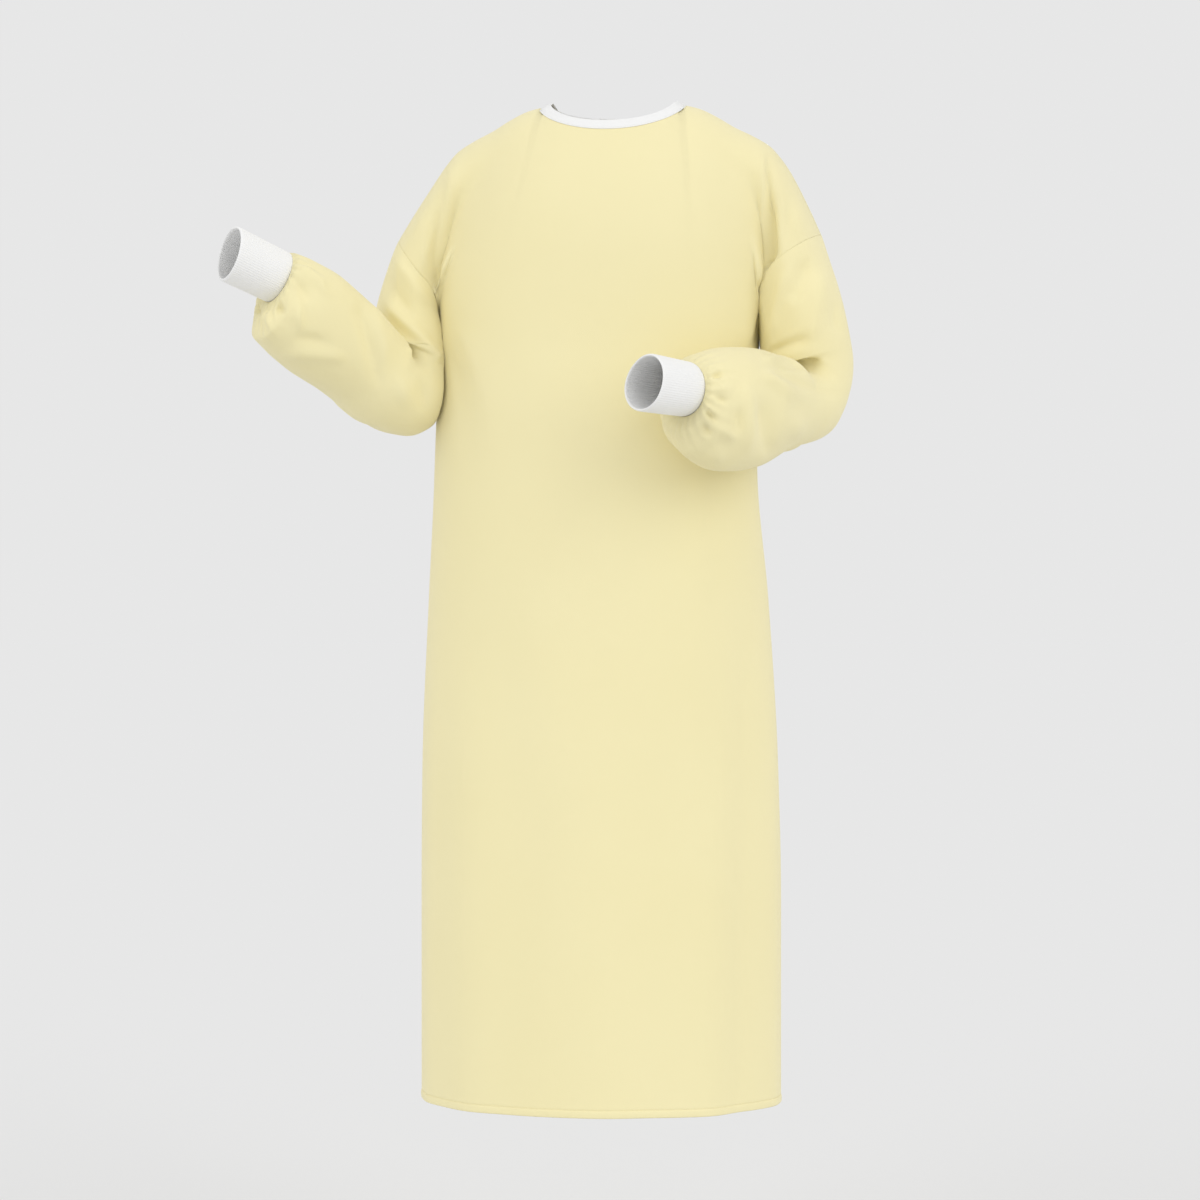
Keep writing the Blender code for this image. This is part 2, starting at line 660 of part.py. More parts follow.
def neck_binding():
    """A band round the neck that leans in, and rolls a little over its upper edge."""
    places = neckline()
    grid = []
    for share, roll in zip(BINDING_ROLL["share"], BINDING_ROLL["roll"]):
        row = []
        for place in places:
            inward = -unit((place[0], place[1] - NECK_AXIS_Y, 0.0))
            lean = smooth_read(BINDING_LEAN, "face", "lean", -inward[1])
            rise = unit(inward * lean + np.array((0.0, 0.0, 1.0)))
            out = unit(np.array((0.0, 0.0, 1.0)) * lean - inward)
            row.append(place + rise * BINDING_WIDTH * share + out * roll)
        grid.append(row[::-1])
    return sheet("neck_binding", grid, WHITE, BINDING_WALL, seams=("first",))


# ---------------------------------------------------------------- waist ties
TIES = {
    # from the right back's free edge, over the other tape, and down
    "waist_tie_right": table(
        "along x z lift wide thick",
        (0.00, 0.022, -0.4680, 0.0046, 0.0200, 0.0016),
        (0.12, 0.062, -0.4700, 0.0046, 0.0200, 0.0016),
        (0.20, 0.088, -0.4740, 0.0048, 0.0170, 0.0020),
        (0.26, 0.104, -0.4830, 0.0050, 0.0150, 0.0062),
        (0.32, 0.115, -0.4980, 0.0048, 0.0160, 0.0024),
        (0.42, 0.120, -0.5300, 0.0028, 0.0200, 0.0016),
        (0.60, 0.123, -0.6000, 0.0012, 0.0200, 0.0016),
        (1.00, 0.130, -0.7600, 0.0007, 0.0200, 0.0016),
    ),
    # from the left back, near its side seam, under the other tape, and down
    "waist_tie_left": table(
        "along x z lift wide thick",
        (0.00, 0.145, -0.4640, 0.0015, 0.0200, 0.0016),
        (0.08, 0.127, -0.4690, 0.0015, 0.0180, 0.0016),
        (0.18, 0.104, -0.4830, 0.0015, 0.0140, 0.0020),
        (0.26, 0.094, -0.5040, 0.0015, 0.0180, 0.0016),
        (0.40, 0.091, -0.5400, 0.0014, 0.0200, 0.0016),
        (0.60, 0.092, -0.6000, 0.0012, 0.0200, 0.0016),
        (1.00, 0.096, -0.7250, 0.0007, 0.0200, 0.0016),
    ),
}
TIE_STATIONS = 24


def back_place(x, z, lift):
    """A place on the back, moved out of its cloth."""
    step = 0.002
    out = x - body("centre", z)
    here = depth("back", out, z)
    slope_x = (depth("back", out + step, z) - depth("back", out - step, z)) / (2 * step)
    slope_z = (depth("back", out, z + step) - depth("back", out, z - step)) / (2 * step)
    return np.array((x, here, z)) + unit((-slope_x, 1.0, -slope_z)) * lift


def waist_tie(name):
    rows = TIES[name]
    rings = []
    for i in range(TIE_STATIONS + 1):
        at = i / TIE_STATIONS
        here = {c: smooth_read(rows, "along", c, at) for c in rows}
        ahead = {c: smooth_read(rows, "along", c, min(at + 0.01, 1.0)) for c in ("x", "z")}
        behind = {c: smooth_read(rows, "along", c, max(at - 0.01, 0.0)) for c in ("x", "z")}
        run_x, run_z = ahead["x"] - behind["x"], ahead["z"] - behind["z"]
        length = math.hypot(run_x, run_z)
        side_x, side_z = run_z / length * here["wide"], -run_x / length * here["wide"]
        spots = [(here["x"] + side_x * w, here["z"] + side_z * w) for w in (-0.5, -0.25, 0.25, 0.5)]
        knotted = here["thick"] > 2 * TAPE_WALL
        crown = (0.55, 1.0, 1.0, 0.55) if knotted else (1.0, 1.0, 1.0, 1.0)
        low = [back_place(a, b, here["lift"]) for a, b in spots]
        high = [back_place(a, b, here["lift"] + here["thick"] * c) for (a, b), c in zip(spots, crown)]
        rings.append(low + high[::-1])
    return bar(name, rings, YELLOW)


def bar(name, rings, colour):
    """A closed solid through rings of points, with flat ends."""
    count = len(rings[0])
    verts = [tuple(p) for ring in rings for p in ring]
    faces = [tuple(range(count)), tuple((len(rings) - 1) * count + i for i in range(count))[::-1]]
    for r in range(len(rings) - 1):
        for c in range(count):
            d = (c + 1) % count
            faces.append((r * count + d, r * count + c, (r + 1) * count + c, (r + 1) * count + d))
    mesh = bpy.data.meshes.new(name)
    mesh.from_pydata(verts, [], faces)
    mesh.materials.append(material(name + "_cloth", colour, 0.9))
    solid = bmesh.new()
    solid.from_mesh(mesh)
    bmesh.ops.recalc_face_normals(solid, faces=solid.faces)
    solid.to_mesh(mesh)
    solid.free()
    piece = bpy.data.objects.new(name, mesh)
    GOWN.objects.link(piece)
    return piece


# ---------------------------------------------------------------- build
for old in list(bpy.data.objects):
    bpy.data.objects.remove(old, do_unlink=True)
GOWN = bpy.data.collections.new("isolation_gown")
bpy.context.scene.collection.children.link(GOWN)

front_panel()
back_panel("back_left_panel", 1)
back_panel("back_right_panel", -1)
for sleeve_name in SLEEVES:
    sleeve(sleeve_name)
    cuff(sleeve_name.replace("sleeve", "cuff"), sleeve_name)
neck_binding()
for tie_name in TIES:
    waist_tie(tie_name)
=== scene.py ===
# %% [markdown]
# # An isolation gown, worn and filled out
#
# The gown is a long back-opening coat of thin yellow cloth, with white knit cuffs and a white
# binding at the neck. Nobody wears it here, so it keeps the hollow shape of a wearer. Each piece
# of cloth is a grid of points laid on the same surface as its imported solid, with the folds,
# seams and hem added at their real size.

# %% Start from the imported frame
import math

import bpy
import numpy as np
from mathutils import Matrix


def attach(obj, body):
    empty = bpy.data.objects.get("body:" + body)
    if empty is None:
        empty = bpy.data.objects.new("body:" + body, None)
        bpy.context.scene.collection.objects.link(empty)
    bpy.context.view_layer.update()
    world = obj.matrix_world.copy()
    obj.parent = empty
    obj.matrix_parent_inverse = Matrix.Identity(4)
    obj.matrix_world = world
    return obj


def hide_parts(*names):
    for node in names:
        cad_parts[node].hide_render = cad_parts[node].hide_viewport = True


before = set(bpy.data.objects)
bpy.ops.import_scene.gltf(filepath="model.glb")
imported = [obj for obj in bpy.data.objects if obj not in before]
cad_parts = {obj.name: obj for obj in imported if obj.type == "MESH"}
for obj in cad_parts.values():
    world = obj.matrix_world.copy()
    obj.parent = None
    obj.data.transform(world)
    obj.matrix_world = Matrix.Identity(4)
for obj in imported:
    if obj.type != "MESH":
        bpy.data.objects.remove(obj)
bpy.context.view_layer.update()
FINE = 1.0
print("frame nodes:", sorted(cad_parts))

# %% [markdown]
# ## Reading tables on a smooth curve
#
# The gown's shape is written as short tables: a row for each height or place, a column for each
# size. A curve that never overshoots its rows joins them, so a fold or a bulge only appears where
# a row asks for it. Everything works on whole arrays of points, because a garment has tens of
# thousands of them.


# %% Table and curve helpers
def table(columns, *rows):
    """A table with named columns, each an array."""
    return {name: np.array([row[i] for row in rows], float) for i, name in enumerate(columns.split())}


def smooth_read(rows, key, column, at):
    """Read a column at values of its key, on a smooth curve through the rows."""
    keys, values = rows[key], rows[column]
    if keys[0] > keys[-1]:
        keys, values = keys[::-1], values[::-1]
    at = np.clip(at, keys[0], keys[-1])
    steps = np.diff(values) / np.diff(keys)
    before, after = steps[:-1], steps[1:]
    same_way = before * after > 0.0
    middle = np.where(same_way, 2.0 * before * after / np.where(same_way, before + after, 1.0), 0.0)
    slopes = np.concatenate([steps[:1], middle, steps[-1:]])
    i = np.clip(np.searchsorted(keys, at, side="right") - 1, 0, len(keys) - 2)
    span = keys[i + 1] - keys[i]
    t = (at - keys[i]) / span
    return ((1 + 2 * t) * (1 - t) ** 2 * values[i] + t * (1 - t) ** 2 * span * slopes[i]
            + t * t * (3 - 2 * t) * values[i + 1] + t * t * (t - 1) * span * slopes[i + 1])


def ease(t):
    """0 below 0, 1 above 1, and a smooth step between."""
    t = np.clip(t, 0.0, 1.0)
    return t * t * (3.0 - 2.0 * t)


def lobe(t, power, roundness):
    """1 in the middle, falling to 0 at t = 1 like the side of a rounded section."""
    return (1.0 - np.minimum(np.abs(t), 1.0) ** power) ** roundness


def hump(t):
    """A soft bump, 1 at 0 and nothing past 2 or so."""
    return np.exp(-t * t)


def unit(v):
    v = np.asarray(v, float)
    return v / np.maximum(np.linalg.norm(v, axis=-1, keepdims=True), 1e-12)


# %% [markdown]
# ## The gown's own sizes
#
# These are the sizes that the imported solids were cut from. The length comes from the frame, so
# that the looks stay on the solids: the origin is at the neck, and the hem is the lowest point.

# %% Sizes of the cut
GOWN_LENGTH = 1.193
HEM_WIDTH = 0.0100
NECK_HALF = 0.0875
NECK_SEAM_Z = -0.0065
FRONT_NECK_DROP = 0.0365
BACK_NECK_DROP = 0.0150
NECK_CURVE = 0.56
BINDING_WIDTH = 0.0150
UNDERARM_Z = -0.290
SHOULDER_REACH = 0.200
ARM_REACH = 0.100
FRONT_ARM_DEPTH = 0.072
BACK_ARM_DEPTH = 0.068
LAP_RISE = 0.0032
LAP_RAMP = 0.14
BACK_EDGE = 0.24
CUFF_RADIUS = 0.0308
CUFF_LENGTH = 0.0660
CUFF_SLANT = 0.06
ROW_CROWD = 1.6
BODY_POWER = 2.5

# the body at heights from the hem to the shoulders; round is the exponent of its side
BODY = table(
    "z half_width front back round centre",
    (-1.193, 0.2166, 0.140, 0.150, 0.62, -0.0174),
    (-0.950, 0.2166, 0.139, 0.148, 0.60, -0.0174),
    (-0.790, 0.2142, 0.137, 0.143, 0.58, -0.0186),
    (-0.595, 0.2045, 0.133, 0.132, 0.55, -0.0204),
    (-0.450, 0.1945, 0.129, 0.122, 0.52, -0.0235),
    (-0.330, 0.1920, 0.126, 0.120, 0.50, -0.0220),
    (-0.290, 0.1935, 0.125, 0.120, 0.50, -0.0205),
    (-0.250, 0.1950, 0.125, 0.120, 0.50, -0.0185),
    (-0.210, 0.1950, 0.125, 0.120, 0.50, -0.0140),
    (-0.170, 0.1950, 0.125, 0.120, 0.50, -0.0085),
    (-0.130, 0.1950, 0.125, 0.120, 0.50, -0.0050),
    (-0.080, 0.1950, 0.125, 0.120, 0.50, -0.0010),
    (0.0000, 0.1950, 0.125, 0.120, 0.50, 0.0000),
)

# the line of the shoulder, seen from the front
SHOULDER = table(
    "x z",
    (0.0000, 0.0040), (0.0500, 0.0010), (0.0875, -0.0050), (0.1030, -0.0090), (0.1240, -0.0190),
    (0.1440, -0.0310), (0.1680, -0.0430), (0.1870, -0.0550), (0.1980, -0.0670), (0.2070, -0.0790),
    (0.2220, -0.1030), (0.2360, -0.1270), (0.2490, -0.1510), (0.2550, -0.1630), (0.2650, -0.1900),
    (0.2750, -0.2300), (0.2800, -0.2900),
)

# the fold that runs down from the shoulder to the armpit: where the arm's cap starts and crests
CAP = table(
    "z start crest",
    (-0.290, 0.2000, 0.2500), (-0.250, 0.1960, 0.2450), (-0.200, 0.1850, 0.2350),
    (-0.150, 0.1760, 0.2250), (-0.100, 0.1500, 0.2050), (-0.040, 0.0700, 0.1600),
    (0.0000, 0.0300, 0.1300),
)

# half an armhole, from the shoulder tip round to the underarm
ARMHOLE = table(
    "out depth left_z right_z",
    (0.2545, 0.000, -0.160, -0.160), (0.2490, 0.030, -0.165, -0.167),
    (0.2360, 0.058, -0.175, -0.182), (0.2160, 0.067, -0.190, -0.204),
    (0.1990, 0.054, -0.207, -0.222), (0.1905, 0.039, -0.236, -0.246),
    (0.1928, 0.018, -0.270, -0.273), (0.1935, 0.000, -0.290, -0.290),
)

# where the columns of a panel meet its top edge
TOPS = {
    "front": table("across out", (0.0, 0.0), (0.42, NECK_HALF), (0.62, 0.150), (0.82, 0.203),
                   (1.0, 0.2545)),
    "back": table("across out", (0.0, 0.0), (0.24, 0.026), (0.46, NECK_HALF), (0.64, 0.150),
                  (0.82, 0.203), (1.0, 0.2545)),
}
NECK_ACROSS = {"front": 0.42, "back": 0.46}


# %% [markdown]
# ## The surface of the body
#
# A worn coat hangs from the shoulders as a flattened tube. Its sections are rounded boxes, wider
# than deep. Near the top it closes over the shoulders, and each side carries a cap of cloth over
# the upper arm, with a fold between chest and arm.


# %% Surface of the body
def body(column, z):
    return smooth_read(BODY, "z", column, z)


def depth(face, x, z):
    """How far the cloth stands from the middle plane, at x from the body's middle and height z."""
    out = np.abs(x)
    below = np.maximum(smooth_read(SHOULDER, "x", "z", out) - z, 0.0)
    chest = body(face, z) * lobe(out / body("half_width", z), BODY_POWER, body("round", z))
    chest = chest * lobe(1.0 - np.minimum(below / SHOULDER_REACH, 1.0), 2.2, 1.0 / 2.2)
    start = smooth_read(CAP, "z", "start", z)
    crest = smooth_read(CAP, "z", "crest", z)
    full = FRONT_ARM_DEPTH if face == "front" else BACK_ARM_DEPTH
    over = np.where(out < crest, (crest - out) / (crest - start), 0.0)
    cap = full * lobe(over, 2.0, 0.5) * lobe(1.0 - np.minimum(below / ARM_REACH, 1.0), 2.0, 0.5)
    cap = np.where((z > UNDERARM_Z) & (out > start), cap, 0.0)
    return (chest ** 5 + cap ** 5) ** 0.2


def armhole(side, t):
    """A point of the armhole seam: t runs 0 at the shoulder tip, by the front, 0.5 at the
    underarm, and by the back to 1. The side is +1 on the left and -1 on the right."""
    t = np.asarray(t, float) % 1.0
    place = np.minimum(t, 1.0 - t) * 2.0 * (len(ARMHOLE["out"]) - 1)
    steps = dict(ARMHOLE, step=np.arange(len(ARMHOLE["out"]), dtype=float))
    z = smooth_read(steps, "step", "left_z" if side > 0 else "right_z", place)
    out = smooth_read(steps, "step", "out", place)
    away = smooth_read(steps, "step", "depth", place)
    forward = np.where(t < 0.5, -1.0, BACK_ARM_DEPTH / FRONT_ARM_DEPTH)
    return np.stack([side * out + body("centre", z), forward * away, z], -1)


def top_edge(face, x):
    """The height of a panel's top edge at x: its neckline, then the shoulder seam."""
    drop = FRONT_NECK_DROP if face == "front" else BACK_NECK_DROP
    dip = np.maximum(1.0 - (np.abs(x) / NECK_HALF) ** 2, 0.0) ** NECK_CURVE
    return np.where(np.abs(x) < NECK_HALF, NECK_SEAM_Z - drop * dip,
                    smooth_read(SHOULDER, "x", "z", np.abs(x)))


def panel_point(face, side, across, up):
    """Points of the front or back: across is 0 at the middle and 1 at the side, up is 0 at the
    hem, 1 at the underarm and 2 at the top edge."""
    across, up = np.broadcast_arrays(np.asarray(across, float), np.asarray(up, float))
    way = -1.0 if face == "front" else 1.0
    turn = across * math.pi / 2.0
    z_low = -GOWN_LENGTH + (UNDERARM_Z + GOWN_LENGTH) * up
    out_low = body("half_width", z_low) * np.sin(turn) ** (2.0 / BODY_POWER)
    away_low = body(face, z_low) * np.maximum(np.cos(turn), 0.0) ** (2.0 * body("round", z_low))
    climb = 1.0 - np.clip(2.0 - up, 0.0, 1.0) ** ROW_CROWD
    foot_out = body("half_width", UNDERARM_Z) * np.sin(turn) ** (2.0 / BODY_POWER)
    head_out = smooth_read(TOPS[face], "across", "out", across)
    out = foot_out + (head_out - foot_out) * climb
    z = UNDERARM_Z + (top_edge(face, head_out) - UNDERARM_Z) * climb
    round_by = (2.0 - np.clip(up, 1.0, 2.0)) * 0.5
    seam = armhole(side, round_by if face == "front" else 1.0 - round_by)
    tip_out = ARMHOLE["out"][0]
    chord_out = body("half_width", UNDERARM_Z) * (1.0 - climb) + tip_out * climb
    chord_z = UNDERARM_Z + (top_edge(face, tip_out) - UNDERARM_Z) * climb
    seam_out = side * (seam[..., 0] - body("centre", seam[..., 2]))
    pull = across ** 3
    out = out + pull * (seam_out - chord_out)
    z = z + pull * (seam[..., 2] - chord_z)
    away = depth(face, out, z)
    miss = np.abs(seam[..., 1]) - depth(face, seam_out, seam[..., 2])
    away = np.maximum(away + miss * ease((across - 0.75) / 0.25), 0.0)
    low = up <= 1.0
    z = np.where(low, z_low, z)
    out = np.where(low, out_low, out)
    away = np.where(low, away_low, away)
    return np.stack([side * out + body("centre", z), way * away, z], -1)


middle_front = panel_point("front", 1, 0.0, 1.0)
print("front at the chest, mm:", np.round(middle_front * 1000, 1))

# %% [markdown]
# ## The sleeves' own path
#
# Each sleeve is a tube round a bent middle line: a straight upper arm, a tight turn at the elbow
# and a forearm. The first rings follow the armhole, which is cut on a slant, and the last ones
# are drawn in to the cuff. Rings and folds are tables again, so that a bulge is one number.

# %% Sleeve tables
ELBOW_BEND = 0.046
ARMHOLE_FADE = 0.34
SEAM_ROLL = 0.0140
SLEEVE_LENGTH = 0.33
BODY_CLEAR = 0.0020
GATHER_AT = 0.955
GATHER_REACH = 0.050
SLEEVES = {
    "left_sleeve": dict(
        side=1, elbow=(0.240, 0.010, -0.364), wrist=(0.101, -0.218, -0.358), cuff_way=(-0.63, -0.77, 0.06),
        rings=table(
            "at inner outer away toward lead",
            (0.00, 0.066, 0.050, 0.056, 0.050, 0.000), (0.12, 0.066, 0.054, 0.068, 0.050, 0.000),
            (0.25, 0.060, 0.052, 0.062, 0.064, 0.000), (0.34, 0.052, 0.050, 0.056, 0.072, 0.000),
            (0.42, 0.038, 0.050, 0.054, 0.068, 0.000), (0.54, 0.046, 0.060, 0.058, 0.060, 0.000),
            (0.70, 0.056, 0.083, 0.064, 0.064, 0.000), (0.84, 0.052, 0.090, 0.064, 0.062, 0.008),
            (0.93, 0.043, 0.072, 0.052, 0.052, 0.018), (0.975, 0.036, 0.050, 0.041, 0.041, 0.014),
            (1.00, 0.0308, 0.0308, 0.0308, 0.0308, 0.000)),
        folds=table(
            "at round long wide raise slant",
            (0.31, -8.0, 0.030, 55.0, 0.0060, 0.10), (0.24, -90.0, 0.090, 45.0, 0.0080, 0.00),
            (0.55, 15.0, 0.050, 45.0, 0.0050, 0.12),
            (0.50, 60.0, 0.040, 40.0, -0.0040, 0.15), (0.74, 105.0, 0.050, 50.0, 0.0040, 0.05))),
    "right_sleeve": dict(
        side=-1, elbow=(-0.236, -0.047, -0.376), wrist=(-0.3708, -0.187, -0.2239),
        cuff_way=(-0.74, -0.56, 0.37),
        rings=table(
            "at inner outer away toward lead",
            (0.00, 0.066, 0.050, 0.056, 0.050, 0.000), (0.12, 0.066, 0.052, 0.072, 0.046, 0.000),
            (0.24, 0.060, 0.054, 0.068, 0.044, 0.000), (0.33, 0.052, 0.062, 0.063, 0.048, 0.000),
            (0.40, 0.036, 0.058, 0.058, 0.052, 0.000), (0.47, 0.042, 0.053, 0.058, 0.053, 0.000),
            (0.54, 0.055, 0.053, 0.058, 0.054, 0.000), (0.62, 0.057, 0.057, 0.059, 0.057, 0.000),
            (0.70, 0.055, 0.064, 0.060, 0.060, 0.000), (0.84, 0.049, 0.074, 0.060, 0.060, 0.008),
            (0.93, 0.040, 0.072, 0.052, 0.050, 0.016), (0.975, 0.035, 0.054, 0.041, 0.040, 0.012),
            (1.00, 0.0308, 0.0308, 0.0308, 0.0308, 0.000)),
        folds=table(
            "at round long wide raise slant",
            (0.30, -5.0, 0.030, 60.0, 0.0070, 0.12), (0.53, 5.0, 0.045, 50.0, 0.0050, 0.10),
            (0.74, 100.0, 0.050, 50.0, 0.0030, 0.05))),
}
# the gathers at the wrist, uneven round the sleeve: where, how wide and how deep
GATHERS = table(
    "round wide raise",
    (-165.0, 14.0, 0.0032), (-128.0, 12.0, 0.0026), (-92.0, 13.0, 0.0024), (-52.0, 12.0, 0.0016),
    (-12.0, 12.0, 0.0012), (28.0, 12.0, 0.0014), (66.0, 12.0, 0.0022), (104.0, 14.0, 0.0030),
    (142.0, 13.0, 0.0034))


# %% The sleeve's surface
def armhole_middle(side):
    return armhole(side, np.arange(24) / 24).mean(axis=0)


def bent_path(start, corner, end, radius):
    """A path along two straight runs joined by an arc: its place and direction at a share of its
    length, and the way across the plane of the bend."""
    first, second = unit(corner - start), unit(end - corner)
    bend = math.acos(float(first @ second))
    trim = radius * math.tan(bend / 2)
    run_a = float(np.linalg.norm(corner - start)) - trim
    run_b = float(np.linalg.norm(end - corner)) - trim
    inward = unit(second - first * float(first @ second))
    arc = radius * bend
    total = run_a + arc + run_b

    def at(share):
        s = share * total
        if s < run_a:
            return start + first * s, first
        if s < run_a + arc:
            turn = (s - run_a) / radius
            place = start + first * (run_a + radius * math.sin(turn))
            return (place + inward * radius * (1 - math.cos(turn)),
                    first * math.cos(turn) + inward * math.sin(turn))
        return end - second * (total - s), second

    return at, np.cross(first, inward)


def sleeve_frame(spec, at):
    """Middle of the sleeve, its direction, the way to the crook, and the way across it."""
    path, across = bent_path(armhole_middle(spec["side"]), np.array(spec["elbow"]),
                             np.array(spec["wrist"]), ELBOW_BEND)
    place, way = path(at)
    turn = ease((at - 0.78) / 0.22)
    way = unit(way * (1 - turn) + unit(spec["cuff_way"]) * turn)
    inner = unit(np.cross(across, way))
    return place, way, inner, -spec["side"] * unit(np.cross(way, inner))


def ring_angle(spec, t):
    """The sleeve's angle for a point of the armhole: both run round from the shoulder tip."""
    place, way, inner, away = sleeve_frame(spec, 0.0)
    tip = armhole(spec["side"], 0.0) - armhole_middle(spec["side"])
    front = armhole(spec["side"], 0.25) - armhole_middle(spec["side"])
    tip_angle = math.atan2(tip @ away, tip @ inner)
    front_angle = math.atan2(front @ away, front @ inner)
    turns = (front_angle - tip_angle + math.pi) % (2 * math.pi) - math.pi
    return tip_angle + math.copysign(2 * math.pi, turns) * t


def around(degrees, angle):
    """How far angles are from a place round the sleeve, in degrees, the short way."""
    return (np.degrees(angle) - degrees + 180.0) % 360.0 - 180.0


def sleeve_relief(spec, at, angle):
    """Folds and gathers, as a height on the plain tube."""
    height = np.zeros_like(angle)
    folds = spec["folds"]
    for i in range(len(folds["at"])):
        off = around(folds["round"][i], angle)
        along = at - folds["at"][i] - folds["slant"][i] * off / 360.0
        height += folds["raise"][i] * hump(along / folds["long"][i]) * hump(off / folds["wide"][i])
    near_cuff = hump((at - GATHER_AT) / GATHER_REACH) * ease((1.0 - at) / 0.02)
    for i in range(len(GATHERS["round"])):
        off = around(GATHERS["round"][i], angle)
        height += GATHERS["raise"][i] * near_cuff * hump(off / GATHERS["wide"][i])
    return height


def off_body(points, clear):
    """Press the points of a sleeve outwards where they would reach into the body's side."""
    x, y, z = points[:, 0], points[:, 1], points[:, 2]
    centre = body("centre", z)
    side = np.where(x > centre, 1.0, -1.0)
    deep = np.where(y < 0, body("front", z), body("back", z))
    share = np.minimum(np.abs(y) / deep, 1.0)
    least = body("half_width", z) * (1.0 - share ** (1.0 / body("round", z))) ** (1.0 / BODY_POWER)
    clear = clear * ease((UNDERARM_Z - 0.01 - z) / 0.04)
    out = (x - centre) * side
    gap = out - least - clear
    pressed = least + clear + 0.5 * (gap + np.sqrt(gap * gap + 0.004 ** 2 * ease(clear / 0.001)))
    moved = centre + side * np.maximum(pressed, out)
    return np.stack([np.where(z > UNDERARM_Z + 0.04, x, moved), y, z], -1)


def roll_off(spec, t, at):
    """The sleeve leaves the seam the way the panel arrives there, and rolls over into its own."""
    top = np.minimum(t % 1.0, 1.0 - t % 1.0)
    up = 2.0 - 2.0 * top
    edge = {face: panel_point(face, spec["side"], 1.0, up) - panel_point(face, spec["side"], 0.97, up)
            for face in ("front", "back")}
    arrives = unit(np.where((t % 1.0 < 0.5)[:, None], edge["front"], edge["back"]))
    leaves = sleeve_frame(spec, 0.0)[1]
    share = SEAM_ROLL * (1.0 - math.exp(-at * SLEEVE_LENGTH / SEAM_ROLL))
    return (arrives - leaves) * (share * ease((0.38 - top) / 0.22))[:, None]


def sleeve_ring(spec, t, at):
    """One ring of a sleeve: t runs round it from the shoulder tip, at from the armhole to the cuff."""
    angle = ring_angle(spec, t)
    place, way, inner, away = sleeve_frame(spec, at)
    size = {c: float(smooth_read(spec["rings"], "at", c, at)) for c in spec["rings"]}
    c, s = np.cos(angle), np.sin(angle)
    swell = sleeve_relief(spec, at, angle)
    reach_in = np.where(c > 0, size["inner"], size["outer"]) + swell
    reach_side = np.where(s > 0, size["away"], size["toward"]) + swell
    points = (place + inner * (reach_in * c)[:, None] + away * (reach_side * s)[:, None]
              + way * (size["lead"] * (1 - c) / 2)[:, None])
    if at < ARMHOLE_FADE:
        start, now = sleeve_frame(spec, 0.0), sleeve_frame(spec, at)
        held = armhole(spec["side"], t) - start[0]
        slant = sum(np.outer(held @ b, a) for a, b in zip(now[1:], start[1:])) + now[0]
        slant = slant + roll_off(spec, t, at)
        share = math.sin(at / ARMHOLE_FADE * math.pi / 2.0) ** 1.3
        points = slant * (1 - share) + points * share
    return off_body(points, BODY_CLEAR * float(ease(at / 0.08)))


# %% [markdown]
# ## The camera, and creases placed one by one
#
# The camera stands a little to the right of straight ahead, at mid height. Its numbers are also
# used backwards: a crease that was read off the photograph, in its 1200-pixel frame, is laid on
# whatever cloth lies under it. A crease is a short path with a width to each side and a height,
# where a trough is below 0.

# %% Camera and the photograph's frame
PHOTO = 1200.0
LENS, SENSOR = 90.0, 36.0
CAMERA_AZIMUTH = math.radians(6.0)
CAMERA_DISTANCE = 3.6
TARGET = np.array((-0.018, 0.0, -0.595))
LOOK = np.array((-math.sin(CAMERA_AZIMUTH), math.cos(CAMERA_AZIMUTH), 0.0))
RIGHT = np.array((math.cos(CAMERA_AZIMUTH), math.sin(CAMERA_AZIMUTH), 0.0))
CAMERA_PLACE = TARGET - LOOK * CAMERA_DISTANCE

lens = bpy.data.cameras.new("camera")
lens.lens = LENS
lens.sensor_width = SENSOR
camera = bpy.data.objects.new("camera", lens)
camera.location = CAMERA_PLACE
camera.rotation_euler = (math.pi / 2, 0.0, CAMERA_AZIMUTH)
bpy.context.scene.collection.objects.link(camera)
bpy.context.scene.camera = camera


def photo_place(points):
    """Where points fall in the photograph, in pixels right and down."""
    off = points - CAMERA_PLACE
    ahead = off @ LOOK
    scale = LENS / SENSOR * PHOTO / ahead
    return np.stack([PHOTO / 2 + (off @ RIGHT) * scale, PHOTO / 2 - off[..., 2] * scale], -1)


def back_view(points):
    """Places on the back, in millimetres right (the wearer's right) and down from the neck."""
    return np.stack([-points[..., 0], -points[..., 2]], -1) * 1000.0


def crease_height(seen, rows):
    """The height of one crease at seen places: a path of x y left right raise, in the units of
    the view, but for raise, which is in millimetres."""
    best = np.full(seen.shape[:-1], np.inf)
    height = np.zeros(seen.shape[:-1])
    ends = np.stack([rows["x"], rows["y"]], -1)
    for i in range(len(ends) - 1):
        run = ends[i + 1] - ends[i]
        off = seen - ends[i]
        share = np.clip(off @ run / (run @ run), 0.0, 1.0)
        gap = off - share[..., None] * run
        side = run[0] * gap[..., 1] - run[1] * gap[..., 0]
        read = {c: rows[c][i] + (rows[c][i + 1] - rows[c][i]) * ease(share) for c in rows}
        wide = np.where(side > 0, read["left"], read["right"])
        off_path = np.linalg.norm(gap, axis=-1) / wide
        closer = off_path < best
        height = np.where(closer, read["raise"] * hump(off_path), height)
        best = np.where(closer, off_path, best)
    return height / 1000.0


def crease(x_y_left_right_raise, within=(0.0, 1.0)):
    """A crease as a table of its path, and the stretch of a sleeve that it belongs to."""
    return dict(table("x y left right raise", *x_y_left_right_raise)), within


CREASE_DEPTH = {"front_panel": 1.25, "left_sleeve": 1.8, "right_sleeve": 1.8}


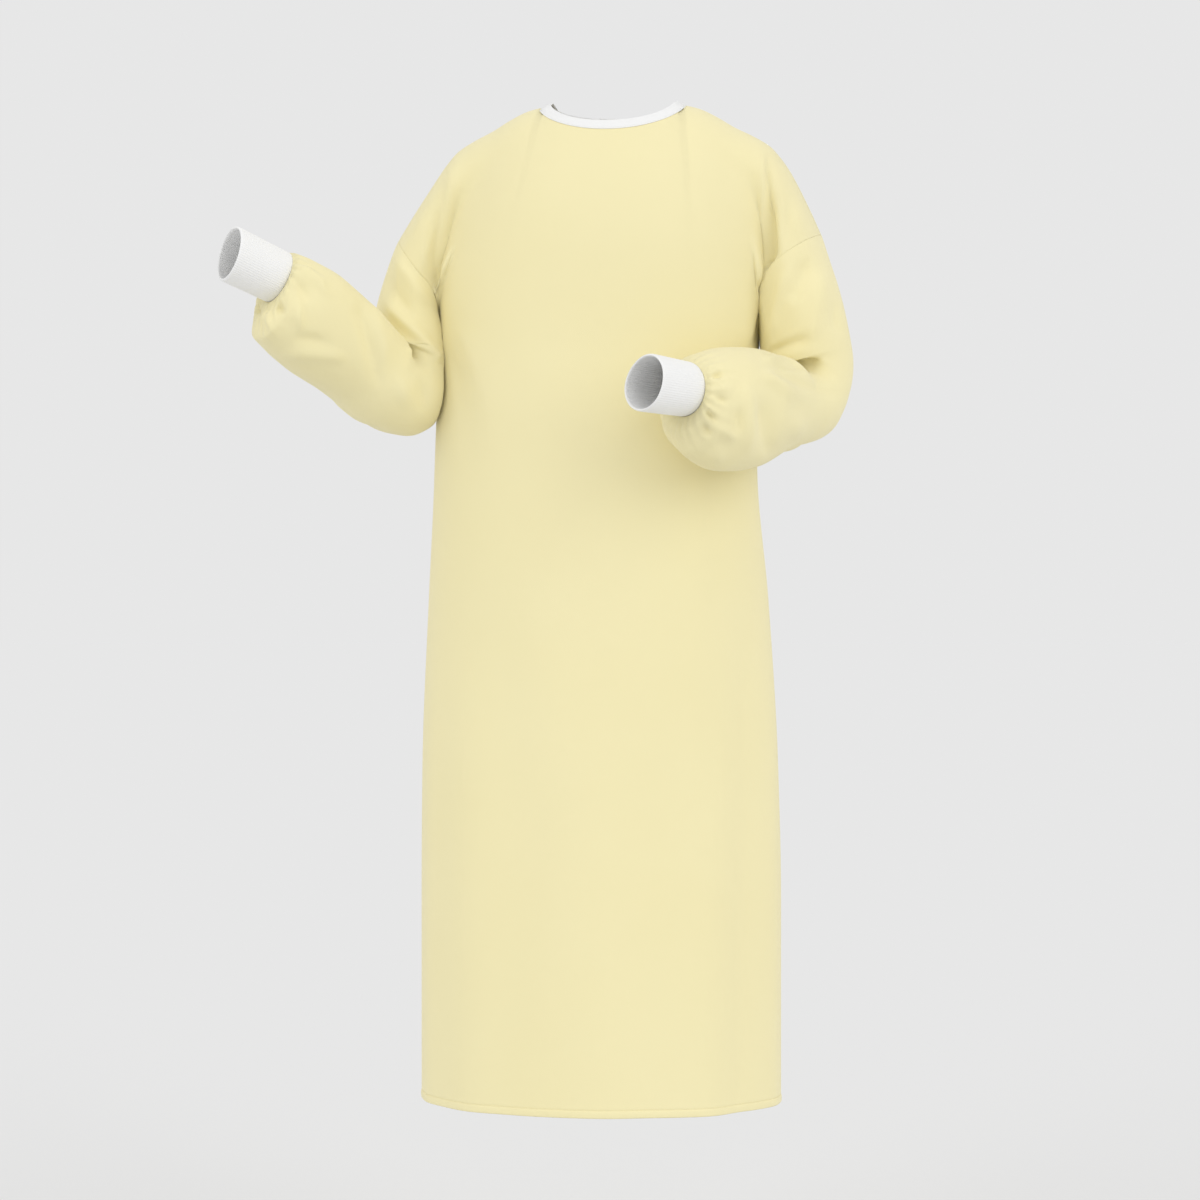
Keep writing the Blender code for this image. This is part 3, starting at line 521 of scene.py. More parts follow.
# %% [markdown]
# ## Creases seen in the photograph
#
# The body is nearly smooth, with soft upright bands. The deepest folds are where the cloth turns
# from chest to arm, in the crooks of the elbows, and in the gathers at the cuffs.

# %% Creases on the front
PHOTO_CREASES = {
    "front_panel": [
        # from the shoulder to the armpit, a rounded fold with a deep crease beside it
        crease([(763, 138, 14, 4, 0), (764, 175, 14, 4, 2.0), (762, 222, 16, 4, 3.2), (760, 262, 16, 4, 4.0),
                (757, 300, 15, 4, 3.6), (750, 332, 14, 4, 2.4), (744, 356, 12, 4, 0)]),
        crease([(767, 146, 3, 5, 0), (768, 182, 3, 6, -4.5), (769, 227, 3, 7, -10.0), (767, 265, 3, 8, -12.5),
                (763, 300, 3, 8, -5.0), (757, 332, 3, 6, -1.0), (747, 354, 3, 5, 0)]),
        crease([(788, 188, 6, 6, 0), (789, 215, 6, 6, -1.6), (788, 243, 6, 6, -1.0)]),
        crease([(797, 190, 7, 8, 0), (799, 215, 7, 8, 1.4), (800, 240, 7, 8, 0.6)]),
        crease([(779, 196, 5, 6, 0), (779, 222, 5, 6, 1.4), (779, 246, 5, 6, 0.8)]),
        # the same on the other side, softer
        crease([(452, 150, 5, 12, 0), (452, 190, 6, 14, 1.8), (450, 228, 6, 15, 2.4), (446, 262, 6, 15, 2.6),
                (443, 296, 5, 14, 1.8), (441, 330, 5, 12, 0)]),
        crease([(443, 160, 7, 4, 0), (441, 205, 8, 4, -1.8), (437, 250, 9, 4, -3.4), (436, 290, 8, 4, -3.4),
                (437, 330, 7, 4, 0)]),
        crease([(424, 205, 8, 8, 0), (420, 230, 8, 8, 1.2), (424, 262, 8, 8, 0)]),
        # drag lines that fan from the armpits over the chest
        crease([(452, 318, 5, 9, 0), (470, 352, 6, 12, 1.6), (486, 400, 8, 16, 1.4), (494, 470, 10, 20, 0)]),
        crease([(448, 340, 4, 7, 0), (458, 378, 5, 9, -2.2), (466, 430, 7, 12, -1.6), (470, 500, 10, 16, 0)]),
        crease([(744, 356, 8, 4, 0), (730, 400, 10, 7, -1.6), (722, 460, 13, 9, -1.2), (718, 540, 16, 12, 0)]),
        crease([(700, 470, 16, 12, 0), (696, 540, 18, 14, 1.8), (694, 640, 22, 18, 1.4), (690, 760, 24, 20, 0)]),
        # broad upright bands down the skirt
        crease([(500, 560, 26, 26, 0), (506, 680, 30, 28, -2.6), (520, 840, 30, 30, -3.2), (512, 1010, 30, 28, -2.2),
                (506, 1125, 28, 26, -1.6)]),
        crease([(462, 640, 18, 20, 0), (464, 760, 20, 22, 2.6), (466, 920, 20, 22, 3.2), (468, 1125, 20, 20, 2.6)]),
        crease([(590, 640, 30, 30, 0), (586, 800, 32, 32, 2.0), (590, 960, 32, 32, 2.6), (596, 1125, 30, 30, 2.6)]),
        crease([(650, 700, 26, 26, 0), (654, 860, 28, 28, -2.0), (652, 1000, 26, 26, -2.4), (650, 1125, 24, 24, -2.2)]),
        crease([(742, 560, 14, 12, 0), (746, 700, 16, 13, -3.0), (746, 880, 16, 13, -3.6), (744, 1040, 16, 13, -3.0),
                (742, 1125, 15, 12, -2.6)]),
        crease([(712, 720, 18, 16, 0), (714, 860, 20, 18, 2.0), (712, 1000, 20, 18, 2.8), (710, 1125, 18, 16, 2.8)]),
        crease([(436, 620, 7, 9, 0), (432, 760, 7, 10, 2.2), (430, 940, 7, 10, 2.4), (430, 1125, 7, 9, 2.0)]),
        crease([(770, 640, 8, 6, 0), (772, 800, 9, 6, 2.0), (773, 960, 9, 6, 2.4), (773, 1125, 8, 6, 2.0)]),
    ],
    "left_sleeve": [
        # under the armhole: two troughs and a ridge that run down the outside of the arm
        crease([(812, 254, 7, 7, 0), (804, 272, 8, 7, -2.6), (796, 292, 8, 7, -2.0), (790, 306, 7, 6, 0)], (0.0, 0.4)),
        crease([(824, 262, 8, 8, 0), (820, 290, 9, 8, 2.4), (814, 326, 9, 8, 1.6), (810, 344, 8, 8, 0)], (0.0, 0.45)),
        crease([(836, 288, 6, 6, 0), (836, 318, 7, 6, -2.4), (838, 340, 6, 6, 0)], (0.0, 0.5)),
        crease([(786, 262, 6, 6, 0), (780, 290, 6, 6, 1.8), (772, 322, 6, 6, 1.4), (766, 344, 5, 5, 0)], (0.0, 0.4)),
        # the fan of folds from the crook
        crease([(757, 356, 4, 5, 0), (776, 348, 5, 5, -4.0), (797, 341, 6, 6, -3.0), (812, 336, 6, 6, 0)], (0.2, 0.75)),
        crease([(760, 362, 4, 4, 0), (780, 354, 5, 5, 3.0), (804, 346, 6, 7, 2.4), (822, 342, 6, 7, 0)], (0.25, 0.8)),
        crease([(764, 364, 4, 5, 0), (786, 363, 6, 6, -3.6), (809, 361, 8, 7, -4.2), (826, 362, 7, 7, 0)], (0.3, 0.8)),
        crease([(758, 370, 5, 5, 0), (772, 379, 6, 6, 2.6), (792, 392, 7, 7, 2.2), (812, 402, 7, 7, 0)], (0.35, 0.9)),
        crease([(767, 366, 4, 4, 0), (784, 374, 5, 5, -2.6), (803, 384, 6, 6, -2.4), (826, 391, 6, 6, -1.8),
                (846, 397, 6, 6, 0)], (0.35, 0.9)),
        # upright ridge and dark bands on the forearm
        crease([(746, 376, 7, 7, 0), (748, 400, 8, 7, 2.6), (749, 432, 8, 7, 3.0), (748, 466, 8, 7, 0)], (0.45, 1.0)),
        crease([(741, 402, 6, 5, 0), (739, 420, 6, 5, -2.4), (739, 440, 6, 5, 0)], (0.5, 1.0)),
        crease([(760, 392, 6, 9, 0), (764, 420, 7, 11, -3.2), (768, 446, 7, 10, -2.4), (770, 464, 6, 9, 0)], (0.45, 1.0)),
        crease([(720, 442, 7, 7, 0), (716, 456, 8, 8, 2.4), (712, 468, 8, 8, 0)], (0.6, 1.0)),
        crease([(790, 408, 8, 8, 0), (796, 428, 9, 9, 2.2), (796, 448, 8, 8, 0)], (0.4, 1.0)),
        # gathers at the cuff
        crease([(702, 409, 3, 3, 0), (710, 415, 3, 3, -3.0), (722, 424, 4, 4, 0)], (0.8, 1.0)),
        crease([(700, 422, 3, 3, 0), (706, 431, 4, 4, -3.0), (716, 437, 4, 4, 0)], (0.8, 1.0)),
        crease([(712, 422, 4, 4, 0), (727, 433, 5, 5, 2.6), (738, 442, 5, 5, 0)], (0.75, 1.0)),
        crease([(710, 379, 3, 4, 0), (718, 375, 3, 4, -2.4), (726, 370, 4, 4, 0)], (0.75, 1.0)),
        crease([(712, 390, 3, 4, 0), (722, 388, 4, 4, 2.0), (736, 388, 5, 5, 0)], (0.75, 1.0)),
        crease([(712, 398, 3, 3, 0), (722, 400, 3, 3, -2.0), (732, 404, 4, 4, 0)], (0.75, 1.0)),
    ],
    "right_sleeve": [
        # upper sleeve: seam ridge and the cloth that hangs over the crook
        crease([(398, 246, 8, 8, 0), (404, 268, 8, 8, 2.2), (418, 290, 8, 8, 2.4), (431, 308, 7, 7, 0)], (0.0, 0.4)),
        crease([(384, 262, 8, 8, 0), (388, 282, 8, 7, -2.0), (402, 304, 7, 7, -2.0), (416, 322, 6, 6, 0)], (0.0, 0.45)),
        crease([(379, 296, 5, 7, 0), (396, 314, 6, 7, 3.4), (418, 336, 6, 7, 4.2), (436, 356, 5, 6, 3.0),
                (441, 364, 5, 5, 0)], (0.05, 0.37)),
        crease([(394, 322, 6, 5, 0), (404, 334, 7, 6, -2.6), (414, 342, 7, 6, -2.8), (428, 354, 6, 5, -2.0),
                (436, 362, 5, 5, 0)], (0.46, 0.8)),
        crease([(402, 342, 4, 5, 0), (416, 352, 4, 6, 3.0), (432, 364, 4, 6, 2.4), (438, 374, 4, 5, 0)], (0.46, 0.9)),
        # the forearm: a curved crease, a bright ridge along it, and the soft pouch over the wrist
        crease([(356, 296, 7, 6, 0), (364, 318, 8, 6, -2.8), (371, 344, 8, 6, -3.2), (377, 372, 8, 6, -1.6),
                (380, 392, 7, 6, 0)], (0.4, 1.0)),
        crease([(366, 292, 6, 8, 0), (376, 314, 6, 9, 2.2), (384, 342, 6, 9, 2.4), (388, 372, 6, 8, 0)], (0.4, 1.0)),
        crease([(278, 352, 6, 6, 0), (300, 354, 7, 7, 2.2), (332, 356, 7, 7, 2.2), (352, 358, 6, 6, 0)], (0.45, 1.0)),
        crease([(288, 338, 5, 5, 0), (312, 340, 6, 6, -2.0), (338, 344, 6, 6, 0)], (0.45, 1.0)),
        crease([(296, 264, 4, 4, 0), (308, 272, 5, 4, 2.2), (320, 282, 5, 5, 2.6), (332, 302, 5, 5, 0)], (0.6, 1.0)),
        crease([(290, 280, 4, 4, 0), (302, 290, 5, 5, -2.4), (314, 306, 5, 5, 0)], (0.7, 1.0)),
        crease([(254, 299, 4, 4, 0), (256, 308, 4, 4, -3.2), (262, 318, 4, 4, 0)], (0.8, 1.0)),
        crease([(276, 298, 4, 4, 0), (279, 307, 4, 4, -3.4), (286, 318, 4, 4, 0)], (0.8, 1.0)),
        crease([(298, 296, 5, 5, 0), (299, 318, 5, 5, 2.6), (302, 338, 5, 5, 0)], (0.6, 1.0)),
        crease([(264, 306, 4, 4, 0), (268, 320, 4, 5, 2.6), (276, 336, 5, 5, 0)], (0.7, 1.0)),
        crease([(400, 372, 8, 8, 0), (404, 392, 9, 8, 2.0), (408, 414, 8, 8, 0)], (0.3, 0.8)),
        crease([(420, 372, 6, 6, 0), (424, 394, 7, 6, -2.4), (424, 418, 6, 6, 0)], (0.3, 0.7)),
    ],
}


# %% [markdown]
# ## Creases on the hidden sides
#
# The photograph doesn't show the back or the far sides of the sleeves. They get folds of the same
# kind: upright ones that fall from the shoulder blades, short ones that run to the knot of the
# waist tie, and bunched ones round the outside of each elbow.

# %% Creases on the back and round the sleeves
BACK_CREASES = [
    crease([(-150, 90, 9, 14, 0), (-158, 150, 10, 16, 2.4), (-166, 220, 11, 16, 3.0), (-172, 300, 10, 14, 0)]),
    crease([(-172, 110, 7, 7, 0), (-178, 180, 7, 8, -3.4), (-182, 250, 7, 8, -4.4), (-184, 310, 6, 7, 0)]),
    crease([(142, 90, 14, 9, 0), (152, 150, 16, 10, 2.4), (160, 220, 16, 11, 3.2), (168, 300, 14, 10, 0)]),
    crease([(166, 110, 7, 7, 0), (172, 180, 8, 7, -3.2), (178, 250, 8, 7, -4.6), (182, 310, 7, 6, 0)]),
    crease([(-126, 210, 18, 18, 0), (-130, 380, 20, 20, 2.0), (-142, 640, 24, 24, 3.0), (-150, 920, 28, 26, 3.6),
            (-156, 1210, 30, 28, 3.6)]),
    crease([(-98, 260, 14, 16, 0), (-100, 440, 16, 18, -2.2), (-112, 700, 20, 22, -3.4), (-118, 1210, 24, 26, -4.0)]),
    crease([(-20, 160, 26, 26, 0), (-24, 420, 28, 26, 1.8), (-30, 760, 30, 28, 2.4), (-34, 1210, 32, 30, 2.8)]),
    crease([(18, 240, 16, 16, 0), (22, 520, 18, 20, -2.2), (26, 860, 22, 24, -3.4), (28, 1210, 24, 26, -3.8)]),
    crease([(72, 170, 20, 20, 0), (78, 420, 22, 22, 2.6), (84, 760, 26, 26, 3.4), (88, 1210, 28, 28, 3.8)]),
    crease([(118, 230, 14, 16, 0), (124, 480, 16, 18, -2.6), (132, 820, 20, 20, -4.0), (138, 1210, 22, 24, -4.4)]),
    crease([(164, 330, 14, 14, 0), (172, 620, 16, 16, 2.6), (184, 940, 18, 16, 3.2), (190, 1210, 18, 18, 3.4)]),
    crease([(-178, 360, 12, 12, 0), (-188, 660, 14, 14, -2.4), (-196, 960, 16, 14, -3.0), (-198, 1210, 16, 14, -3.0)]),
    # short pulls towards the knot
    crease([(-62, 452, 6, 6, 0), (-78, 458, 7, 7, 1.8), (-92, 468, 6, 6, 0)]),
    crease([(-58, 492, 7, 7, 0), (-74, 490, 7, 7, -1.6), (-92, 490, 6, 6, 0)]),
    crease([(-150, 446, 6, 6, 0), (-134, 454, 7, 7, 1.6), (-120, 466, 6, 6, 0)]),
    crease([(-112, 420, 6, 6, 0), (-108, 444, 7, 7, -1.6), (-106, 464, 5, 5, 0)]),
]
# at and round are places on the sleeve; slant is how far along a fold moves for each turn round
HIDDEN_FOLDS = {
    "left_sleeve": table(
        "at round long wide raise slant",
        (0.08, -150.0, 0.030, 40.0, 0.0020, 0.30), (0.17, -120.0, 0.022, 34.0, -0.0024, 0.35),
        (0.24, -140.0, 0.024, 44.0, 0.0026, 0.30), (0.36, 175.0, 0.016, 46.0, -0.0020, 0.08),
        (0.41, 165.0, 0.016, 52.0, 0.0026, 0.05), (0.46, -170.0, 0.014, 50.0, -0.0022, -0.05),
        (0.51, 175.0, 0.018, 56.0, 0.0024, -0.08), (0.60, -140.0, 0.030, 36.0, -0.0020, -0.30),
        (0.68, -115.0, 0.030, 36.0, 0.0026, -0.35), (0.79, -100.0, 0.036, 30.0, -0.0022, -0.30),
        (0.20, -60.0, 0.024, 30.0, 0.0018, 0.20), (0.33, -48.0, 0.018, 34.0, -0.0026, 0.15)),
    "right_sleeve": table(
        "at round long wide raise slant",
        (0.09, -145.0, 0.030, 40.0, 0.0022, 0.25), (0.16, -115.0, 0.022, 36.0, -0.0022, 0.30),
        (0.25, -135.0, 0.024, 42.0, 0.0026, 0.35), (0.35, 170.0, 0.016, 48.0, -0.0022, 0.08),
        (0.40, -175.0, 0.016, 50.0, 0.0024, 0.04), (0.46, 178.0, 0.015, 52.0, -0.0024, -0.06),
        (0.52, -165.0, 0.018, 54.0, 0.0022, -0.08), (0.61, -130.0, 0.030, 38.0, -0.0024, -0.30),
        (0.70, -110.0, 0.032, 34.0, 0.0024, -0.30), (0.80, -135.0, 0.034, 32.0, -0.0020, -0.25),
        (0.21, -62.0, 0.022, 32.0, 0.0020, 0.20), (0.34, -50.0, 0.018, 32.0, -0.0024, 0.12)),
}

# %% [markdown]
# ## Finishes
#
# The cloth is a close plain weave, so its bump is two crossing waves at the size of the yarns,
# read from a UV map in metres. A slow noise changes the colour a little, as dye and light do in
# real cloth. The sheen is the fuzz of fibres that catches light at the edges. The cuffs are rib
# knit, whose loops stand in columns.


# %% Material builders
def new_finish(name, colour, roughness, sheen):
    """A matt cloth finish. Returns the material, its nodes, its links and its shader."""
    finish = bpy.data.materials.new(name)
    finish.use_nodes = True
    nodes, links = finish.node_tree.nodes, finish.node_tree.links
    shader = nodes["Principled BSDF"]
    shader.inputs["Base Color"].default_value = (*colour, 1.0)
    shader.inputs["Roughness"].default_value = roughness
    shader.inputs["Specular IOR Level"].default_value = 0.25
    shader.inputs["Sheen Weight"].default_value = sheen
    shader.inputs["Sheen Roughness"].default_value = 0.45
    return finish, nodes, links, shader


def shade_variation(nodes, links, shader, colour, deeper, size):
    """A slow, faint change between two shades, in object space."""
    place = nodes.new("ShaderNodeTexCoord")
    noise = nodes.new("ShaderNodeTexNoise")
    noise.inputs["Scale"].default_value = 1.0 / size
    noise.inputs["Detail"].default_value = 3.0
    mix = nodes.new("ShaderNodeMix")
    mix.data_type = "RGBA"
    mix.inputs["A"].default_value = (*colour, 1.0)
    mix.inputs["B"].default_value = (*deeper, 1.0)
    links.new(place.outputs["Object"], noise.inputs["Vector"])
    links.new(noise.outputs["Fac"], mix.inputs["Factor"])
    links.new(mix.outputs["Result"], shader.inputs["Base Color"])


def wave_along(nodes, links, split, axis, pitch, phase=0.0):
    """A sine wave along one axis of the UV map, with a real pitch in metres."""
    turn = nodes.new("ShaderNodeMath")
    turn.operation = "MULTIPLY_ADD"
    turn.inputs[1].default_value = 2.0 * math.pi / pitch
    turn.inputs[2].default_value = phase
    wave = nodes.new("ShaderNodeMath")
    wave.operation = "SINE"
    links.new(split.outputs[axis], turn.inputs[0])
    links.new(turn.outputs[0], wave.inputs[0])
    return wave.outputs[0]


def uv_split(nodes, links):
    uv = nodes.new("ShaderNodeUVMap")
    uv.uv_map = "cloth"
    split = nodes.new("ShaderNodeSeparateXYZ")
    links.new(uv.outputs["UV"], split.inputs["Vector"])
    return split


def combine(nodes, links, operation, a, b):
    node = nodes.new("ShaderNodeMath")
    node.operation = operation
    for socket, value in zip(node.inputs, (a, b)):
        if isinstance(value, float):
            socket.default_value = value
        else:
            links.new(value, socket)
    return node.outputs[0]


def bump(nodes, links, shader, height, distance, strength=1.0):
    node = nodes.new("ShaderNodeBump")
    node.inputs["Strength"].default_value = strength
    node.inputs["Distance"].default_value = distance
    links.new(height, node.inputs["Height"])
    links.new(node.outputs["Normal"], shader.inputs["Normal"])


# %% Woven cloth, binding, knit and thread
YARN = 0.00052               # one yarn of the weave
KNIT_LOOP = 0.0016           # one course of the knit
YELLOW = (0.88, 0.805, 0.485)
YELLOW_DEEP = (0.86, 0.78, 0.45)
WHITE = (0.88, 0.88, 0.875)
WHITE_DEEP = (0.84, 0.84, 0.835)


def woven(name, colour, deeper, yarn, wrinkle):
    """Plain weave: crossing waves, with a faint unevenness of the cloth over them."""
    finish, nodes, links, shader = new_finish(name, colour, 0.86, 0.25)
    shade_variation(nodes, links, shader, colour, deeper, 0.16)
    split = uv_split(nodes, links)
    across = wave_along(nodes, links, split, "X", 2 * yarn)
    along = wave_along(nodes, links, split, "Y", 2 * yarn)
    weave = combine(nodes, links, "MULTIPLY", across, along)
    place = nodes.new("ShaderNodeTexCoord")
    noise = nodes.new("ShaderNodeTexNoise")
    noise.inputs["Scale"].default_value = 22.0
    noise.inputs["Detail"].default_value = 2.0
    links.new(place.outputs["Object"], noise.inputs["Vector"])
    slow = combine(nodes, links, "MULTIPLY", noise.outputs["Fac"], wrinkle)
    height = combine(nodes, links, "ADD", weave, slow)
    bump(nodes, links, shader, height, 0.00006)
    return finish


def knit():
    """Rib knit: the loops of each course, as small humps along the ribs."""
    finish, nodes, links, shader = new_finish("white_rib_knit", WHITE, 0.9, 0.35)
    shade_variation(nodes, links, shader, WHITE, WHITE_DEEP, 0.03)
    split = uv_split(nodes, links)
    courses = wave_along(nodes, links, split, "Y", KNIT_LOOP)
    wales = wave_along(nodes, links, split, "X", KNIT_LOOP * 0.8)
    loops = combine(nodes, links, "ADD", courses, combine(nodes, links, "MULTIPLY", wales, 0.5))
    bump(nodes, links, shader, loops, 0.00005)
    return finish


def thread(name, colour):
    """Sewing thread, with the twist of its plies."""
    finish, nodes, links, shader = new_finish(name, colour, 0.6, 0.1)
    place = nodes.new("ShaderNodeTexCoord")
    wave = nodes.new("ShaderNodeTexWave")
    wave.inputs["Scale"].default_value = 900.0
    links.new(place.outputs["Object"], wave.inputs["Vector"])
    bump(nodes, links, shader, wave.outputs["Fac"], 0.00004)
    return finish


CLOTH = woven("yellow_plain_weave", YELLOW, YELLOW_DEEP, YARN, 5.0)
TAPE = woven("yellow_tape", YELLOW, YELLOW_DEEP, YARN, 2.0)
BINDING = woven("white_binding", WHITE, WHITE_DEEP, YARN, 3.0)
KNIT = knit()
YELLOW_THREAD = thread("yellow_thread", (0.88, 0.79, 0.47))
WHITE_THREAD = thread("white_thread", (0.88, 0.88, 0.87))
print("finishes:", [m.name for m in (CLOTH, TAPE, BINDING, KNIT, YELLOW_THREAD, WHITE_THREAD)])

# %% [markdown]
# ## From a grid of points to a piece of cloth
#
# A piece is a grid of rows and columns. At a seam its edge dips and turns in, as the allowance
# does on a real garment, so two pieces meet in a fine groove and nothing shows between them. At a
# hem the edge is turned up and sewn, so it stands proud and dips at the stitches.

# %% Edges and walls
CLOTH_WALL = 0.0009
# how a seamed edge dips: distance in from the seam, and height there, both in millimetres
SEAM_DIP = table("inward raise", (2.6, 0.0), (1.4, -0.05), (0.6, -0.12), (0.05, -0.35))
ALLOWANCE = 0.0045           # the edge turns in by this much
# a turned and sewn edge: distance in from the edge, and height there, in millimetres
TURNED_EDGE = table("inward raise", (10.0, 0.0), (8.8, 0.05), (8.1, -0.35), (7.4, 0.10), (5.5, 0.62),
                    (2.0, 0.70), (0.7, 0.45), (0.0, -0.10))


def grid_normals(grid, outward, ring=False):
    """Unit normals of a grid, pointing outward: a sign that says which way the rows run."""
    if ring:
        across = np.roll(grid, -1, 1) - np.roll(grid, 1, 1)
    else:
        across = np.gradient(grid, axis=1)
    along = np.gradient(grid, axis=0)
    return unit(np.cross(across, along)) * outward


def finish_edge(grid, normals, edge, profile, turn_in):
    """Reshape one edge of a grid: new columns at real distances from it, raised by a profile,
    and for a seam two more that turn in."""
    flips = {"end": lambda g: g, "start": lambda g: g[:, ::-1], "last": lambda g: np.swapaxes(g, 0, 1),
             "first": lambda g: np.swapaxes(g[::-1], 0, 1)}
    back = {"end": lambda g: g, "start": lambda g: g[:, ::-1], "last": lambda g: np.swapaxes(g, 0, 1),
            "first": lambda g: np.swapaxes(g, 0, 1)[::-1]}
    grid, normals = flips[edge](grid), flips[edge](normals)
    rim, inner, way = grid[:, -1], grid[:, -2], normals[:, -1]
    inward = inner - rim
    reach = np.linalg.norm(inward, axis=1, keepdims=True)
    inward = inward / np.maximum(reach, 1e-9)
    new_points, new_normals = [], []
    for far, high in zip(profile["inward"], profile["raise"]):
        distance = np.minimum(far / 1000.0, reach * (0.2 + 0.06 * far / profile["inward"][0] * 10))
        distance = np.minimum(distance, reach * 0.94)
        blend = distance / np.maximum(reach, 1e-9)
        normal = unit(way * (1 - blend) + normals[:, -2] * blend)
        new_points.append(rim + inward * distance + normal * high / 1000.0)
        new_normals.append(normal)
    if turn_in:
        new_points.append(rim + inward * 0.00015 - way * (0.0012 + ALLOWANCE * 0.4))
        new_points.append(rim + inward * 0.0004 - way * (0.0012 + ALLOWANCE))
        new_normals += [way, way]
    grid = np.concatenate([grid[:, :-1], np.stack(new_points, 1)], 1)
    normals = np.concatenate([normals[:, :-1], np.stack(new_normals, 1)], 1)
    return back[edge](grid), back[edge](normals)


def lengths_along(grid, axis):
    """Running length along each line of a grid."""
    steps = np.linalg.norm(np.diff(grid, axis=axis), axis=-1)
    pad = [(0, 0), (0, 0)]
    pad[axis] = (1, 0)
    return np.cumsum(np.pad(steps, pad), axis=axis)


def cloth(name, grid, outward, material, ring=False, wall=CLOTH_WALL):
    """A piece of cloth from a grid, with a UV map in metres and a wall thickened inwards."""
    rows, columns = grid.shape[:2]
    index = np.arange(rows * columns).reshape(rows, columns)
    if ring:
        index = np.concatenate([index, index[:, :1]], 1)
        grid_uv = np.concatenate([grid, grid[:, :1]], 1)
    else:
        grid_uv = grid
    quads = np.stack([index[:-1, :-1], index[:-1, 1:], index[1:, 1:], index[1:, :-1]], -1)
    u = lengths_along(grid_uv, 1)
    u = u - (u[:, u.shape[1] // 2][:, None] if not ring else 0.0)
    v = np.broadcast_to(lengths_along(grid_uv, 0)[:, grid_uv.shape[1] // 2][:, None], u.shape)
    places = np.stack([u, v], -1)
    corner_uv = np.stack([places[:-1, :-1], places[:-1, 1:], places[1:, 1:], places[1:, :-1]], -2)
    faces = quads.reshape(-1, 4)
    corner_uv = corner_uv.reshape(-1, 4, 2)
    if outward < 0:
        faces, corner_uv = faces[:, ::-1], corner_uv[:, ::-1]
    mesh = bpy.data.meshes.new(name)
    mesh.from_pydata(grid.reshape(-1, 3).tolist(), [], faces.tolist())
    layer = mesh.uv_layers.new(name="cloth")
    layer.data.foreach_set("uv", np.ascontiguousarray(corner_uv, dtype=np.float32).ravel())
    mesh.shade_smooth()
    mesh.materials.append(material)
    piece = bpy.data.objects.new(name, mesh)
    bpy.context.scene.collection.objects.link(piece)
    if wall:
        thick = piece.modifiers.new("wall", "SOLIDIFY")
        thick.thickness = wall
        thick.offset = -1.0
    edges_a, edges_b = grid_uv[1:, :-1] - grid_uv[:-1, :-1], grid_uv[:-1, 1:] - grid_uv[:-1, :-1]
    area = float(np.linalg.norm(np.cross(edges_a, edges_b), axis=-1).sum())
    print(f"{name}: {len(faces)} faces, {u.max() - u.min():.3f} x {v.max():.3f} m, {area:.4f} square metres")
    return piece


def lay_creases(grid, normals, creases, view, facing, at=None):
    """How far the creases that lie over the points of a grid move them out along their normals."""
    seen = view(grid)
    height = np.zeros(seen.shape[:-1])
    for rows, within in creases:
        part = crease_height(seen, rows)
        if at is not None:
            part = part * ease((at - within[0] + 0.02) / 0.04) * ease((within[1] - at + 0.02) / 0.04)
        height += part
    return height * facing


def faces_camera(grid, normals):
    to_camera = unit(CAMERA_PLACE - grid)
    return ease(np.sum(to_camera * normals, -1) / 0.35)


# %% [markdown]
# ## The front
#
# One piece, from the hem to the neck and over the shoulders. The hem is turned up 10 mm and sewn
# with one row of stitches, so the cloth puckers a little there.

# %% Stops of the panels' rows and columns
LOWER_LENGTH = GOWN_LENGTH + UNDERARM_Z
HEM_ROWS = np.array((0.0, 0.5, 1.4, 3.0, 5.0, 7.2, 8.6, 9.2, 9.8, 10.8, 12.6)) / 1000.0
HEM_PROFILE = table("up raise", (0.0, -0.15), (0.5, 0.35), (1.4, 0.62), (5.0, 0.70), (8.0, 0.62),
                    (9.2, -0.40), (10.4, 0.02), (12.6, 0.0))
PUCKER_PITCH = 0.0115


def spaced(low, high, count):
    return np.linspace(low, high, max(int(count * FINE), 3), endpoint=False)


def panel_rows():
    lower = spaced((HEM_ROWS[-1] + 0.003) / LOWER_LENGTH, 0.80, 84)
    waist = spaced(0.80, 1.0, 44)
    upper = spaced(1.0, 1.955, 112)
    return np.concatenate([HEM_ROWS / LOWER_LENGTH, lower, waist, upper, [1.955, 2.0]])


def half_columns(face):
    return np.concatenate([spaced(0.0, NECK_ACROSS[face], 14), spaced(NECK_ACROSS[face], 0.72, 18),
                           spaced(0.72, 0.965, 36), [0.965, 1.0]])


def hem_relief(grid, ups):
    """Height of the turned-up hem, with the small puckers that its stitches draw in."""
    up_mm = (ups * LOWER_LENGTH * 1000.0)[:, None]
    high = smooth_read(HEM_PROFILE, "up", "raise", up_mm)
    run = lengths_along(grid, 1)
    rope = np.sin(2 * math.pi * (run - up_mm * 0.0006) / PUCKER_PITCH)
    rope = rope * (0.6 + 0.4 * np.sin(run * 61.0)) * hump((up_mm - 5.5) / 3.6)
    return (high + 0.20 * rope) / 1000.0


def seam_fade(grid, edges, reach=0.012):
    """1 inside a piece, falling to 0 at its seams, so that both sides of a seam agree."""
    fade = np.ones(grid.shape[:2])
    across, along = lengths_along(grid, 1), lengths_along(grid, 0)
    from_edge = {"start": across, "end": across[:, -1:] - across, "first": along, "last": along[-1:] - along}
    for edge in edges:
        fade = fade * ease(from_edge[edge] / reach)
    return fade


# %% The front panel
PANEL_ROWS = panel_rows()
HEM_STITCH_ROW = 7           # the row of the hem where its stitches dip
EDGE_STITCH_COLUMN = 5       # and the column of a turned edge
STITCH_PROUD = 0.0002
STITCH_PATHS = {"yellow": [], "white": []}


